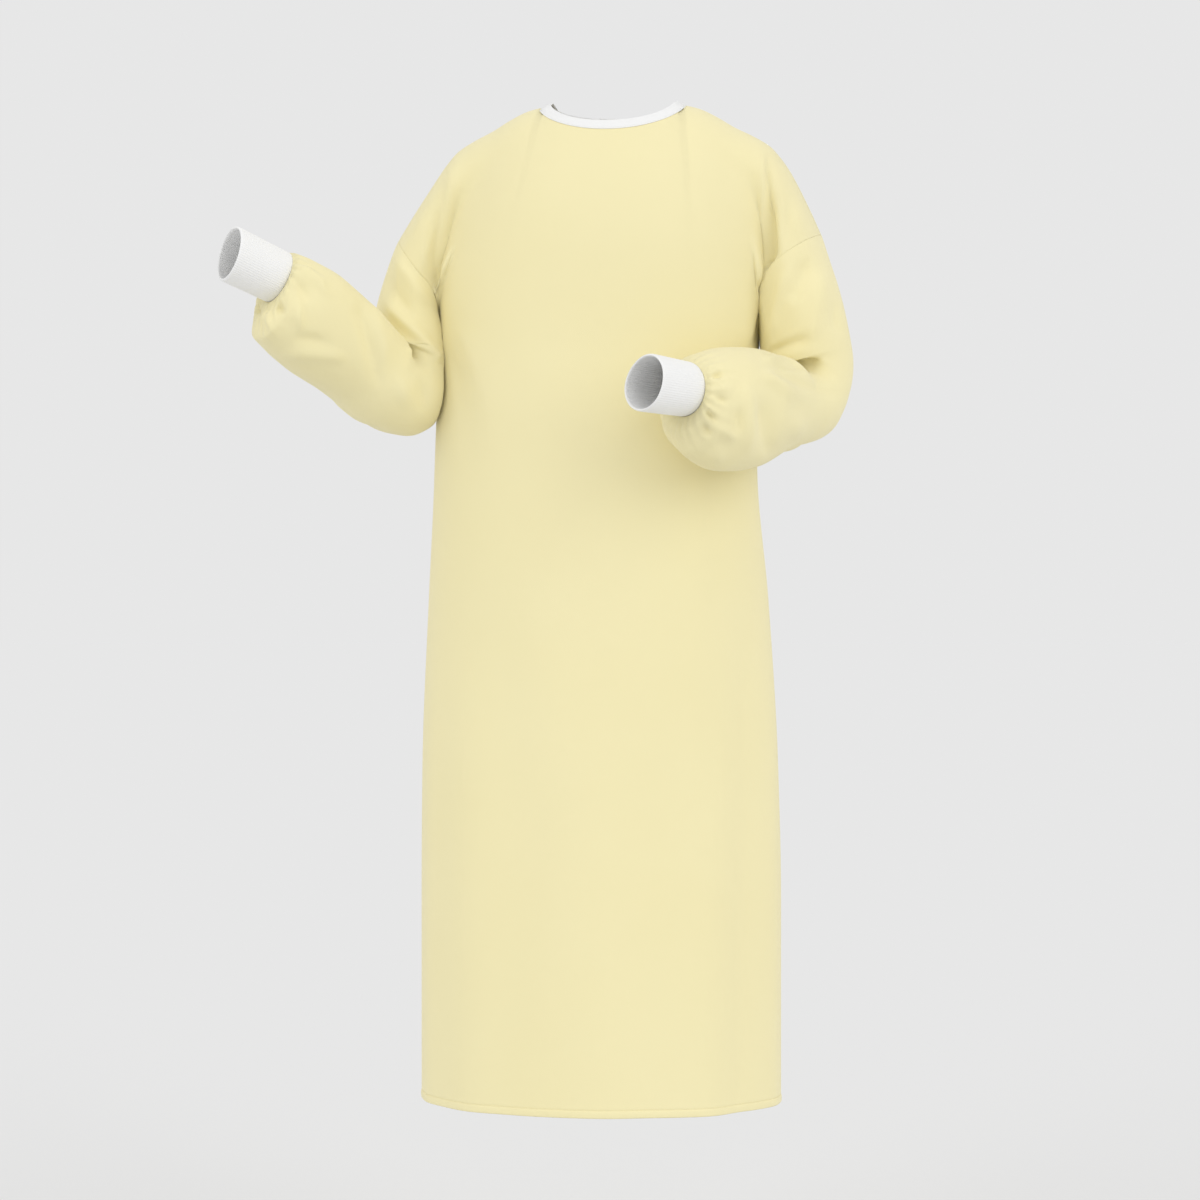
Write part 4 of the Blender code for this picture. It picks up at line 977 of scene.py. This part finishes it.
def front_panel():
    stops = half_columns("front")
    across = np.concatenate([stops[:0:-1], stops])
    sides = np.concatenate([-np.ones(len(stops) - 1), np.ones(len(stops))])
    up, a = np.meshgrid(PANEL_ROWS, across, indexing="ij")
    grid = np.where((sides > 0)[None, :, None], panel_point("front", 1, a, up), panel_point("front", -1, a, up))
    normals = grid_normals(grid, 1)
    height = lay_creases(grid, normals, PHOTO_CREASES["front_panel"], photo_place, faces_camera(grid, normals))
    height = height * CREASE_DEPTH["front_panel"]
    height = height * seam_fade(grid, ("start", "end", "last")) + hem_relief(grid, PANEL_ROWS)
    grid = grid + normals * height[..., None]
    STITCH_PATHS["yellow"].append(grid[HEM_STITCH_ROW] + normals[HEM_STITCH_ROW] * STITCH_PROUD)
    for edge in ("start", "end", "last"):
        grid, normals = finish_edge(grid, normals, edge, SEAM_DIP, True)
    return cloth("front_cloth", grid, 1, CLOTH)


FRONT = front_panel()

# %% [markdown]
# ## The backs
#
# Two pieces that lap down the middle, the right one outside. Their free edges are turned and
# sewn. They follow the same surface, and the outer one is lifted where it lies on the other.


# %% The two backs
def lap(across):
    """How far the right back is moved out to lie over the left back. Across is below 0 on the
    wearer's right."""
    return LAP_RISE * ease((across + BACK_EDGE + LAP_RAMP) / LAP_RAMP)


def faces_back(normals):
    return ease(normals[..., 1] / 0.35)


def back_panel(name, side):
    stops = half_columns("back")
    past = np.concatenate([spaced(0.0, BACK_EDGE - 0.035, 12)[1:], [BACK_EDGE - 0.035, BACK_EDGE]])
    across = np.concatenate([past[::-1], stops])
    sides = np.concatenate([-side * np.ones(len(past)), side * np.ones(len(stops))])
    up, a = np.meshgrid(PANEL_ROWS, across, indexing="ij")
    grid = np.where((sides > 0)[None, :, None], panel_point("back", 1, a, up), panel_point("back", -1, a, up))
    outward = -side
    normals = grid_normals(grid, outward)
    height = lay_creases(grid, normals, BACK_CREASES, back_view, faces_back(normals))
    height = height * seam_fade(grid, ("end", "last")) + hem_relief(grid, PANEL_ROWS)
    if side < 0:
        height = height + lap(a * sides[None, :])
    grid = grid + normals * height[..., None]
    STITCH_PATHS["yellow"].append(grid[HEM_STITCH_ROW] + normals[HEM_STITCH_ROW] * STITCH_PROUD)
    grid, normals = finish_edge(grid, normals, "start", TURNED_EDGE, False)
    edge_path = grid[:, EDGE_STITCH_COLUMN] + normals[:, EDGE_STITCH_COLUMN] * STITCH_PROUD
    STITCH_PATHS["yellow"].append(edge_path[2:-2])
    for edge in ("end", "last"):
        grid, normals = finish_edge(grid, normals, edge, SEAM_DIP, True)
    return cloth(name, grid, outward, CLOTH)


BACK_LEFT = back_panel("back_left_cloth", 1)
BACK_RIGHT = back_panel("back_right_cloth", -1)

# %% [markdown]
# ## The sleeves
#
# Each sleeve is one ring of cloth after another along the bent arm. The folds of the crook come
# from the photograph, the ones round the elbow are placed by their angle, and the last tenth is
# gathered into the cuff in small uneven pleats.

# %% Sleeves
PLEATS = 26                  # small pleats at the cuff's seam
PLEAT_HEIGHT = 0.0011


def pleats(at, angle):
    """Fine uneven pleats that fade up the sleeve from the cuff's seam."""
    wander = 0.5 * np.sin(3.0 * angle + 0.7) + 0.3 * np.sin(5.0 * angle + 2.1)
    wave = np.sin(PLEATS * angle + 2.2 * wander)
    size = 0.7 + 0.3 * np.sin(4.0 * angle + 1.0)
    return PLEAT_HEIGHT * wave * size * hump((1.0 - at - 0.012) / 0.055) * ease((1.0 - at) / 0.008)


def sleeve(name):
    spec = SLEEVES[name]
    columns = int(200 * FINE)
    t = np.arange(columns) / columns
    ats = np.concatenate([[0.0, 0.012], spaced(0.020, 0.86, 138), spaced(0.86, 0.990, 44), [0.990, 1.0]])
    angle = ring_angle(spec, t)
    grid = np.stack([sleeve_ring(spec, t, at) for at in ats])
    outward = spec["side"]
    normals = grid_normals(grid, outward, ring=True)
    at = np.broadcast_to(ats[:, None], grid.shape[:2])
    height = lay_creases(grid, normals, PHOTO_CREASES[name], photo_place, faces_camera(grid, normals), at)
    height = height * CREASE_DEPTH[name]
    folds = dict(spec, folds=HIDDEN_FOLDS[name])
    for i, a in enumerate(ats):
        hidden = 1.0 - faces_camera(grid[i], normals[i])
        plain = sleeve_relief(folds, a, angle) - sleeve_relief(dict(spec, folds=NO_FOLDS), a, angle)
        height[i] += plain * hidden + pleats(a, angle)
    height = height * ease((at + 0.0) / 0.05) * ease((1.0 - at) / 0.012)
    grid = grid + normals * height[..., None]
    grid, normals = finish_edge(grid, normals, "first", SEAM_DIP, True)
    grid, normals = finish_edge(grid, normals, "last", SEAM_DIP, True)
    return cloth(name + "_cloth", grid, outward, CLOTH, ring=True)


NO_FOLDS = table("at round long wide raise slant", (0.5, 0.0, 0.1, 10.0, 0.0, 0.0))
SLEEVE_PIECES = {name: sleeve(name) for name in SLEEVES}

# %% [markdown]
# ## Knit cuffs, with ribs made by Geometry Nodes
#
# A rib-knit cuff is a tube folded at its open end, so the mouth is a soft rounded fold and the
# knit runs back down inside. The ribs repeat round the tube by a rule, so a small node tree lifts
# each point along its normal by a wave of its place round the cuff. The count and height are
# inputs, and a different cuff would only need other numbers.

# %% Rib tree
CUFF_WALL = 0.0022
RIBS = 72
RIB_HEIGHT = 0.00016


def rib_tree(material):
    """Geometry nodes that raise ribs on a tube, by the point attribute 'round' from 0 to 1."""
    tree = bpy.data.node_groups.new("raise_ribs", "GeometryNodeTree")
    face = tree.interface
    face.new_socket("Geometry", in_out="INPUT", socket_type="NodeSocketGeometry")
    count = face.new_socket("Rib count", in_out="INPUT", socket_type="NodeSocketFloat")
    high = face.new_socket("Rib height", in_out="INPUT", socket_type="NodeSocketFloat")
    face.new_socket("Geometry", in_out="OUTPUT", socket_type="NodeSocketGeometry")
    count.default_value, high.default_value = float(RIBS), RIB_HEIGHT
    nodes, links = tree.nodes, tree.links
    given, result = nodes.new("NodeGroupInput"), nodes.new("NodeGroupOutput")
    place = nodes.new("GeometryNodeInputNamedAttribute")
    place.data_type = "FLOAT"
    place.inputs["Name"].default_value = "round"
    turn = combine(nodes, links, "MULTIPLY", place.outputs["Attribute"], given.outputs["Rib count"])
    wave_node = nodes.new("ShaderNodeMath")
    wave_node.operation = "COSINE"
    links.new(combine(nodes, links, "MULTIPLY", turn, 2.0 * math.pi), wave_node.inputs[0])
    lift = combine(nodes, links, "MULTIPLY", wave_node.outputs[0], given.outputs["Rib height"])
    normal = nodes.new("GeometryNodeInputNormal")
    offset = nodes.new("ShaderNodeVectorMath")
    offset.operation = "SCALE"
    links.new(normal.outputs["Normal"], offset.inputs[0])
    links.new(lift, offset.inputs["Scale"])
    move = nodes.new("GeometryNodeSetPosition")
    finish = nodes.new("GeometryNodeSetMaterial")
    finish.inputs["Material"].default_value = material
    links.new(given.outputs["Geometry"], move.inputs["Geometry"])
    links.new(offset.outputs["Vector"], move.inputs["Offset"])
    real = nodes.new("GeometryNodeRealizeInstances")
    links.new(move.outputs["Geometry"], real.inputs["Geometry"])
    links.new(real.outputs["Geometry"], finish.inputs["Geometry"])
    links.new(finish.outputs["Geometry"], result.inputs["Geometry"])
    return tree


def made_plain(piece, tree):
    """Run a node tree on a piece, and keep the result as its plain mesh."""
    modifier = piece.modifiers.new("nodes", "NODES")
    modifier.node_group = tree
    seen = piece.evaluated_get(bpy.context.evaluated_depsgraph_get())
    mesh = bpy.data.meshes.new_from_object(seen)
    piece.modifiers.remove(modifier)
    piece.data = mesh
    return piece


# %% Cuffs
# the section of a cuff: along its length, out from its radius, in shares and millimetres; it
# runs from the seam to the mouth, over the fold and back inside
CUFF_SECTION = table(
    "stop along out",
    (0, -0.05, -0.9), (1, 0.000, -0.25), (2, 0.02, 0.05), (3, 0.06, 0.20), (4, 0.30, 0.45),
    (5, 0.62, 0.85), (6, 0.90, 1.15), (7, 0.968, 1.05), (8, 0.990, 0.50), (9, 1.000, -0.30),
    (10, 0.992, -1.15), (11, 0.965, -1.65), (12, 0.85, -1.75), (13, 0.45, -1.95), (14, 0.06, -2.2))
RIB_SAMPLES = 6
MOUTH_TILT = {"left_sleeve": np.array((0.0, 0.0, 0.0)), "right_sleeve": np.array((0.0, 0.0, 0.28))}


def cuff(name, sleeve_name):
    """A folded knit tube from a sleeve's end; its mouth may be cut on a tilt."""
    spec = SLEEVES[sleeve_name]
    place, way, inner, away = sleeve_frame(spec, 1.0)
    columns = RIBS * (RIB_SAMPLES if FINE == 1.0 else 4)
    turn = np.arange(columns) / columns
    angle = spec["side"] * turn * 2 * math.pi
    stops = np.concatenate([np.linspace(0, 3, 5)[:-1], np.linspace(3, 6, int(20 * FINE))[:-1],
                            np.linspace(6, 12, 17)[:-1], np.linspace(12, 14, 8)])
    rows = []
    for stop in stops:
        along = float(smooth_read(CUFF_SECTION, "stop", "along", stop))
        out = float(smooth_read(CUFF_SECTION, "stop", "out", stop)) / 1000.0
        slant = 1.0 - CUFF_SLANT * along * np.cos(angle)
        uneven = 0.0006 * along * np.sin(2.0 * angle + 0.8) + 0.0004 * along * np.sin(3.0 * angle)
        radius = CUFF_RADIUS + out + uneven
        ring = np.outer(radius * np.cos(angle), inner) + np.outer(radius * np.sin(angle), away)
        reach = CUFF_LENGTH * along * slant + ring @ MOUTH_TILT[sleeve_name] * along
        rows.append(place + np.outer(reach, way) + ring)
    piece = cloth(name, np.stack(rows), -1, KNIT, ring=True, wall=0.0)
    attribute = piece.data.attributes.new("round", "FLOAT", "POINT")
    attribute.data.foreach_set("value", np.tile(turn, len(stops)).astype(np.float32))
    return made_plain(piece, RIB_TREE)


RIB_TREE = rib_tree(KNIT)
CUFF_PIECES = {name: cuff(name.replace("sleeve", "cuff_knit"), name) for name in SLEEVES}

# %% [markdown]
# ## The neck binding
#
# A strip of white cloth is folded over the raw neck edge and sewn through. It leans in over the
# neck, is rounded at the top, and lies a little proud of the yellow cloth at its lower edge.

# %% Neck binding
BINDING_LEAN = table("face lean", (-1.0, 0.76), (0.0, 1.80), (1.0, 0.60))
NECK_AXIS_Y = -0.010
# section of the binding: up its width as a share, and out, in millimetres; outside, over, inside
BINDING_SECTION = table(
    "stop up out",
    (0, 0.10, -1.0), (1, -0.02, -0.2), (2, -0.035, 0.45), (3, 0.02, 0.85), (4, 0.10, 0.45),
    (5, 0.22, 0.85), (6, 0.55, 1.15), (7, 0.86, 0.75), (8, 0.97, 0.15), (9, 1.0, -0.75),
    (10, 0.96, -1.6), (11, 0.80, -2.1), (12, 0.30, -2.2), (13, 0.0, -2.2))


def neckline():
    """Places along the neck seam, from the left back's free edge round the front to the right
    back's, which is moved out for the lap."""
    past = spaced(0.0, BACK_EDGE, 14)[1:]
    half_back = spaced(0.0, NECK_ACROSS["back"], 30)
    half_front = spaced(0.0, NECK_ACROSS["front"], 44)
    neck_back, neck_front = [NECK_ACROSS["back"]], [NECK_ACROSS["front"]]
    runs = [("back", -1, np.concatenate([[BACK_EDGE], past[::-1]]), False), ("back", 1, half_back, False),
            ("front", 1, np.concatenate([neck_front, half_front[:0:-1]]), False),
            ("front", -1, half_front, False), ("back", -1, np.concatenate([neck_back, half_back[:0:-1]]), True),
            ("back", 1, np.concatenate([[0.0], past, [BACK_EDGE]]), True)]
    places = []
    for face, side, across, lifted in runs:
        spots = panel_point(face, side, across, 2.0)
        if lifted:
            out = unit(spots * np.array((1.0, 1.0, 0.0)) - np.array((0.0, NECK_AXIS_Y, 0.0)))
            spots = spots + out * lap(side * across)[:, None]
        places.append(spots)
    return np.concatenate(places)


def neck_binding():
    places = neckline()
    inward = -unit((places - np.array((0.0, NECK_AXIS_Y, 0.0))) * np.array((1.0, 1.0, 0.0)))
    lean = smooth_read(BINDING_LEAN, "face", "lean", -inward[:, 1])[:, None]
    upright = np.array((0.0, 0.0, 1.0))
    rise, out = unit(inward * lean + upright), unit(upright * lean - inward)
    run = lengths_along(places[None], 1)[0]
    pucker = 0.16 * np.sin(2 * math.pi * run / 0.0105) * (0.6 + 0.4 * np.sin(run * 73.0))
    rows = []
    for stop in np.linspace(0, 13, int(40 * FINE) + 1):
        up = float(smooth_read(BINDING_SECTION, "stop", "up", stop))
        high = float(smooth_read(BINDING_SECTION, "stop", "out", stop))
        soft = high + pucker * hump((up - 0.25) / 0.25) * (1.0 if high > 0 else 0.0)
        rows.append(places + rise * BINDING_WIDTH * up + out * (soft / 1000.0)[:, None])
    seam = places + rise * BINDING_WIDTH * 0.12 + out * 0.0006
    STITCH_PATHS["white"].append(seam[2:-2])
    return cloth("neck_binding_cloth", np.stack(rows), -1, BINDING, wall=0.0)


NECK = neck_binding()

# %% [markdown]
# ## The waist tie
#
# Two tapes of the gown's own cloth are tied at the back, off the middle. Each is a flat band with
# sewn edges that lies on the back and falls from the knot. The knot is two short bands that wrap
# over each other.

# %% Tapes and the knot
TIES = {
    "waist_tie_right": table(
        "along x z lift wide",
        (0.00, 0.022, -0.4680, 0.0046, 0.0200), (0.12, 0.062, -0.4700, 0.0046, 0.0200),
        (0.20, 0.088, -0.4740, 0.0056, 0.0170), (0.26, 0.104, -0.4830, 0.0086, 0.0120),
        (0.32, 0.115, -0.4980, 0.0056, 0.0150), (0.42, 0.120, -0.5300, 0.0030, 0.0200),
        (0.60, 0.123, -0.6000, 0.0014, 0.0200), (1.00, 0.130, -0.7600, 0.0009, 0.0200)),
    "waist_tie_left": table(
        "along x z lift wide",
        (0.00, 0.145, -0.4640, 0.0017, 0.0200), (0.08, 0.127, -0.4690, 0.0026, 0.0180),
        (0.18, 0.104, -0.4830, 0.0046, 0.0120), (0.26, 0.094, -0.5040, 0.0026, 0.0170),
        (0.40, 0.091, -0.5400, 0.0014, 0.0200), (0.60, 0.092, -0.6000, 0.0013, 0.0200),
        (1.00, 0.096, -0.7250, 0.0009, 0.0200)),
}
TAPE_WALL = 0.0013
KNOT_X, KNOT_Z, KNOT_LIFT = 0.104, -0.485, 0.0062


def back_place(x, z, lift):
    """Places on the back, moved out of its cloth, and the way out there."""
    step = 0.002
    out = x - body("centre", z)
    here = depth("back", out, z)
    slope_x = (depth("back", out + step, z) - depth("back", out - step, z)) / (2 * step)
    slope_z = (depth("back", out, z + step) - depth("back", out, z - step)) / (2 * step)
    way = unit(np.stack([-slope_x, np.ones_like(here), -slope_z], -1))
    return np.stack([x, here, z], -1) + way * np.asarray(lift)[..., None], way


def tape_grid(x, z, lift, wide, outward=1):
    """A flat band along a path on the back: rows along it, columns across its width."""
    run_x, run_z = np.gradient(x), np.gradient(z)
    length = np.hypot(run_x, run_z)
    side_x, side_z = run_z / length, -run_x / length
    shares = np.linspace(-0.5, 0.5, 13)
    spots_x = x[:, None] + side_x[:, None] * wide[:, None] * shares
    spots_z = z[:, None] + side_z[:, None] * wide[:, None] * shares
    folded = 0.00025 * hump((np.abs(shares) - 0.42) / 0.06) - 0.0003 * ease((np.abs(shares) - 0.46) / 0.04)
    ripple = 0.0007 * np.sin(x * 190.0 + z * 120.0)[:, None] * np.sin(shares * 3.0 + 0.6)[None, :]
    return back_place(spots_x, spots_z, lift[:, None] + TAPE_WALL + folded + np.maximum(ripple, -0.0002))[0]


def tape(name):
    rows = TIES[name]
    along = np.linspace(0.0, 1.0, int(150 * FINE))
    read = {c: smooth_read(rows, "along", c, along) for c in rows}
    grid = tape_grid(read["x"], read["z"], read["lift"], read["wide"])
    for column in (2, 10):
        STITCH_PATHS["yellow"].append(grid[3:-3, column])
    return cloth(name + "_tape", grid, -1, TAPE, wall=TAPE_WALL)


def knot_band(name, lean_degrees, reach, thick, width):
    """A short band that wraps round the bundle of tapes, at a lean."""
    middle, way = back_place(np.array(KNOT_X), np.array(KNOT_Z), np.array(KNOT_LIFT))
    level = unit(np.cross(np.array((0.0, 0.0, 1.0)), way))
    upright = np.cross(way, level)
    lean = math.radians(lean_degrees)
    axis = level * math.cos(lean) + upright * math.sin(lean)
    beside = np.cross(way, axis)
    columns, turns = int(15), int(64 * FINE)
    share = np.linspace(-0.5, 0.5, columns)
    angle = np.linspace(0.0, 2 * math.pi, turns, endpoint=False)
    puffy = 0.0011 * np.cos(share * math.pi) + 0.0003 * np.cos(share * 31.0)
    radius_side, radius_out = reach + puffy, thick + puffy
    pinch = 1.0 - 0.18 * np.cos(angle)[:, None] ** 2
    grid = (middle + axis * (share * width * pinch)[..., None]
            + beside * (np.cos(angle)[:, None] * radius_side)[..., None]
            + way * (np.sin(angle)[:, None] * radius_out)[..., None])
    return cloth(name, np.swapaxes(grid, 0, 1), -1, TAPE, ring=True, wall=TAPE_WALL)


TAPES = {name: tape(name) for name in TIES}
KNOT = [knot_band("knot_over", 38.0, 0.0105, 0.0042, 0.0150), knot_band("knot_under", -52.0, 0.0085, 0.0034, 0.0170)]

# %% [markdown]
# ## Stitches, made by Geometry Nodes
#
# A row of stitches is one small shape repeated at an even pitch along a path, which is just what
# Geometry Nodes do well: the path is resampled, a grain of thread stands on each point, turned to
# the path, and the instances are made real at the end.

# %% Stitch tree
STITCH_PITCH = 0.0030
STITCH_LONG = 0.0021
STITCH_THICK = 0.00055


def stitch_tree(name, material):
    """Geometry nodes that sew along the edges of a mesh."""
    tree = bpy.data.node_groups.new(name, "GeometryNodeTree")
    face = tree.interface
    face.new_socket("Geometry", in_out="INPUT", socket_type="NodeSocketGeometry")
    for label, value in (("Pitch", STITCH_PITCH), ("Stitch length", STITCH_LONG), ("Thread", STITCH_THICK)):
        face.new_socket(label, in_out="INPUT", socket_type="NodeSocketFloat").default_value = value
    face.new_socket("Geometry", in_out="OUTPUT", socket_type="NodeSocketGeometry")
    nodes, links = tree.nodes, tree.links
    given, result = nodes.new("NodeGroupInput"), nodes.new("NodeGroupOutput")
    path = nodes.new("GeometryNodeMeshToCurve")
    even = nodes.new("GeometryNodeResampleCurve")
    even.mode = "LENGTH"
    grain = nodes.new("GeometryNodeMeshUVSphere")
    grain.inputs["Segments"].default_value = 6
    grain.inputs["Rings"].default_value = 4
    grain.inputs["Radius"].default_value = 0.5
    size = nodes.new("ShaderNodeCombineXYZ")
    shape = nodes.new("GeometryNodeTransform")
    tangent = nodes.new("GeometryNodeInputTangent")
    turn = nodes.new("FunctionNodeAlignRotationToVector")
    turn.axis = "X"
    stand = nodes.new("GeometryNodeInstanceOnPoints")
    real = nodes.new("GeometryNodeRealizeInstances")
    smooth = nodes.new("GeometryNodeSetShadeSmooth")
    finish = nodes.new("GeometryNodeSetMaterial")
    finish.inputs["Material"].default_value = material
    links.new(given.outputs["Geometry"], path.inputs["Mesh"])
    links.new(path.outputs["Curve"], even.inputs["Curve"])
    links.new(given.outputs["Pitch"], even.inputs["Length"])
    links.new(given.outputs["Stitch length"], size.inputs["X"])
    links.new(given.outputs["Thread"], size.inputs["Y"])
    links.new(given.outputs["Thread"], size.inputs["Z"])
    links.new(grain.outputs["Mesh"], shape.inputs["Geometry"])
    links.new(size.outputs["Vector"], shape.inputs["Scale"])
    links.new(tangent.outputs["Tangent"], turn.inputs["Vector"])
    links.new(even.outputs["Curve"], stand.inputs["Points"])
    links.new(shape.outputs["Geometry"], stand.inputs["Instance"])
    links.new(turn.outputs["Rotation"], stand.inputs["Rotation"])
    links.new(stand.outputs["Instances"], real.inputs["Geometry"])
    links.new(real.outputs["Geometry"], smooth.inputs["Geometry"])
    links.new(smooth.outputs["Geometry"], finish.inputs["Geometry"])
    links.new(finish.outputs["Geometry"], result.inputs["Geometry"])
    return tree


def sewn(name, paths, tree):
    """Stitches along paths, each an array of points."""
    points = np.concatenate(paths)
    edges, start = [], 0
    for path in paths:
        edges += [(start + i, start + i + 1) for i in range(len(path) - 1)]
        start += len(path)
    mesh = bpy.data.meshes.new(name)
    mesh.from_pydata(points.tolist(), edges, [])
    piece = bpy.data.objects.new(name, mesh)
    bpy.context.scene.collection.objects.link(piece)
    made_plain(piece, tree)
    print(f"{name}: {len(piece.data.polygons)} faces")
    return piece


# %% Rows of stitches
YELLOW_STITCHES = sewn("yellow_stitches", STITCH_PATHS["yellow"], stitch_tree("sew_yellow", YELLOW_THREAD))
WHITE_STITCHES = sewn("white_stitches", STITCH_PATHS["white"], stitch_tree("sew_white", WHITE_THREAD))

# %% [markdown]
# ## Putting the cloth in place of the solids
#
# Each piece stands for its imported solid, which is hidden, and rides on the one body. Its row
# also lists the slot of its finish and the flat size that it was cut to.

# %% Riding and replacing
SLEEVE_CUT = ((0.420, 0.460), 0.155)
BACK_CUT = ((0.450, 1.220), 0.430)
CUFF_CUT = ((0.194, 0.134), None)
PLACED = [
    # piece, node that it stands for, slot, flat size and area, how it is held
    (FRONT, "front_panel", "yellow_cloth", ((0.700, 1.210), 0.655), "hung"),
    (BACK_LEFT, "back_left_panel", "yellow_cloth", BACK_CUT, "hung"),
    (BACK_RIGHT, "back_right_panel", "yellow_cloth", BACK_CUT, "hung"),
    (SLEEVE_PIECES["left_sleeve"], "left_sleeve", "yellow_cloth", SLEEVE_CUT, "gathered"),
    (SLEEVE_PIECES["right_sleeve"], "right_sleeve", "yellow_cloth", SLEEVE_CUT, "gathered"),
    (CUFF_PIECES["left_sleeve"], "left_cuff", "white_knit", CUFF_CUT, "stretched"),
    (CUFF_PIECES["right_sleeve"], "right_cuff", "white_knit", CUFF_CUT, "stretched"),
    (NECK, "neck_binding", "white_binding", ((0.034, 0.620), None), "folded"),
    (TAPES["waist_tie_right"], "waist_tie_right", "yellow_tape", ((0.020, 0.440), None), "hung"),
    (TAPES["waist_tie_left"], "waist_tie_left", "yellow_tape", ((0.020, 0.320), None), "hung"),
]
for piece, node, slot, (flat, area), held in PLACED:
    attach(piece, "root")
    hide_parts(node)
for piece, slot in ([(band, "yellow_tape") for band in KNOT]
                    + [(YELLOW_STITCHES, "yellow_cloth"), (WHITE_STITCHES, "white_binding")]):
    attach(piece, "root")

# %% [markdown]
# ## Floor and light
#
# The photograph has one even pale grey all round and very soft light. A wide flat floor and a
# plain world of the same grey give that without a seam: the floor's own colour is worked out so
# that, lit by the world and the lamps, it is as bright as the world behind it. The lamps are two
# suns with very wide discs, one to each side of the camera, so shadows are faint and soft.

# %% Stage and lamps
BACKDROP = 0.80              # what the camera sees behind the gown
WORLD_LIGHT = 0.77           # what lights it from all round
SUN_LIGHTS = {"right_sun": (0.26, 50.0), "left_sun": (0.21, -50.0)}      # light, and degrees to the side
SUN_HIGH = math.radians(25.0)
FLOOR_Z = -1.50
FLOOR_REACH = 60.0
FLOOR_TRIM = 1.00           # the little light that the gown and the shader take from the floor


def plain_floor():
    turns = 96
    angles = np.arange(turns) / turns * 2 * math.pi
    rim = np.stack([FLOOR_REACH * np.cos(angles), FLOOR_REACH * np.sin(angles), np.full(turns, FLOOR_Z)], -1)
    mesh = bpy.data.meshes.new("floor")
    mesh.from_pydata(rim.tolist(), [], [tuple(range(turns))])
    paint = bpy.data.materials.new("pale_floor")
    paint.use_nodes = True
    shader = paint.node_tree.nodes["Principled BSDF"]
    suns = sum(light for light, side in SUN_LIGHTS.values())
    shade = FLOOR_TRIM * BACKDROP / (WORLD_LIGHT + suns * math.sin(SUN_HIGH))
    shader.inputs["Base Color"].default_value = (shade, shade, shade, 1.0)
    shader.inputs["Roughness"].default_value = 1.0
    shader.inputs["Specular IOR Level"].default_value = 0.0
    mesh.materials.append(paint)
    floor = bpy.data.objects.new("floor", mesh)
    bpy.context.scene.collection.objects.link(floor)
    return floor


plain_floor()
for sun_name, (light, side) in SUN_LIGHTS.items():
    sun = bpy.data.lights.new(sun_name, "SUN")
    sun.energy = light * math.pi
    sun.angle = math.radians(50.0)
    sun_holder = bpy.data.objects.new(sun_name, sun)
    sun_holder.rotation_euler = (math.pi / 2 - SUN_HIGH, 0.0, CAMERA_AZIMUTH + math.radians(side))
    bpy.context.scene.collection.objects.link(sun_holder)
world = bpy.data.worlds.new("studio")
world.use_nodes = True
sky_nodes, sky_links = world.node_tree.nodes, world.node_tree.links
sky = sky_nodes["Background"]
sky.inputs["Color"].default_value = (1.0, 1.0, 1.0, 1.0)
seen_or_lit = sky_nodes.new("ShaderNodeMix")
seen_or_lit.inputs["A"].default_value = WORLD_LIGHT
seen_or_lit.inputs["B"].default_value = BACKDROP
sky_links.new(sky_nodes.new("ShaderNodeLightPath").outputs["Is Camera Ray"], seen_or_lit.inputs["Factor"])
sky_links.new(seen_or_lit.outputs["Result"], sky.inputs["Strength"])
bpy.context.scene.world = world
bpy.context.scene.view_settings.view_transform = "Standard"
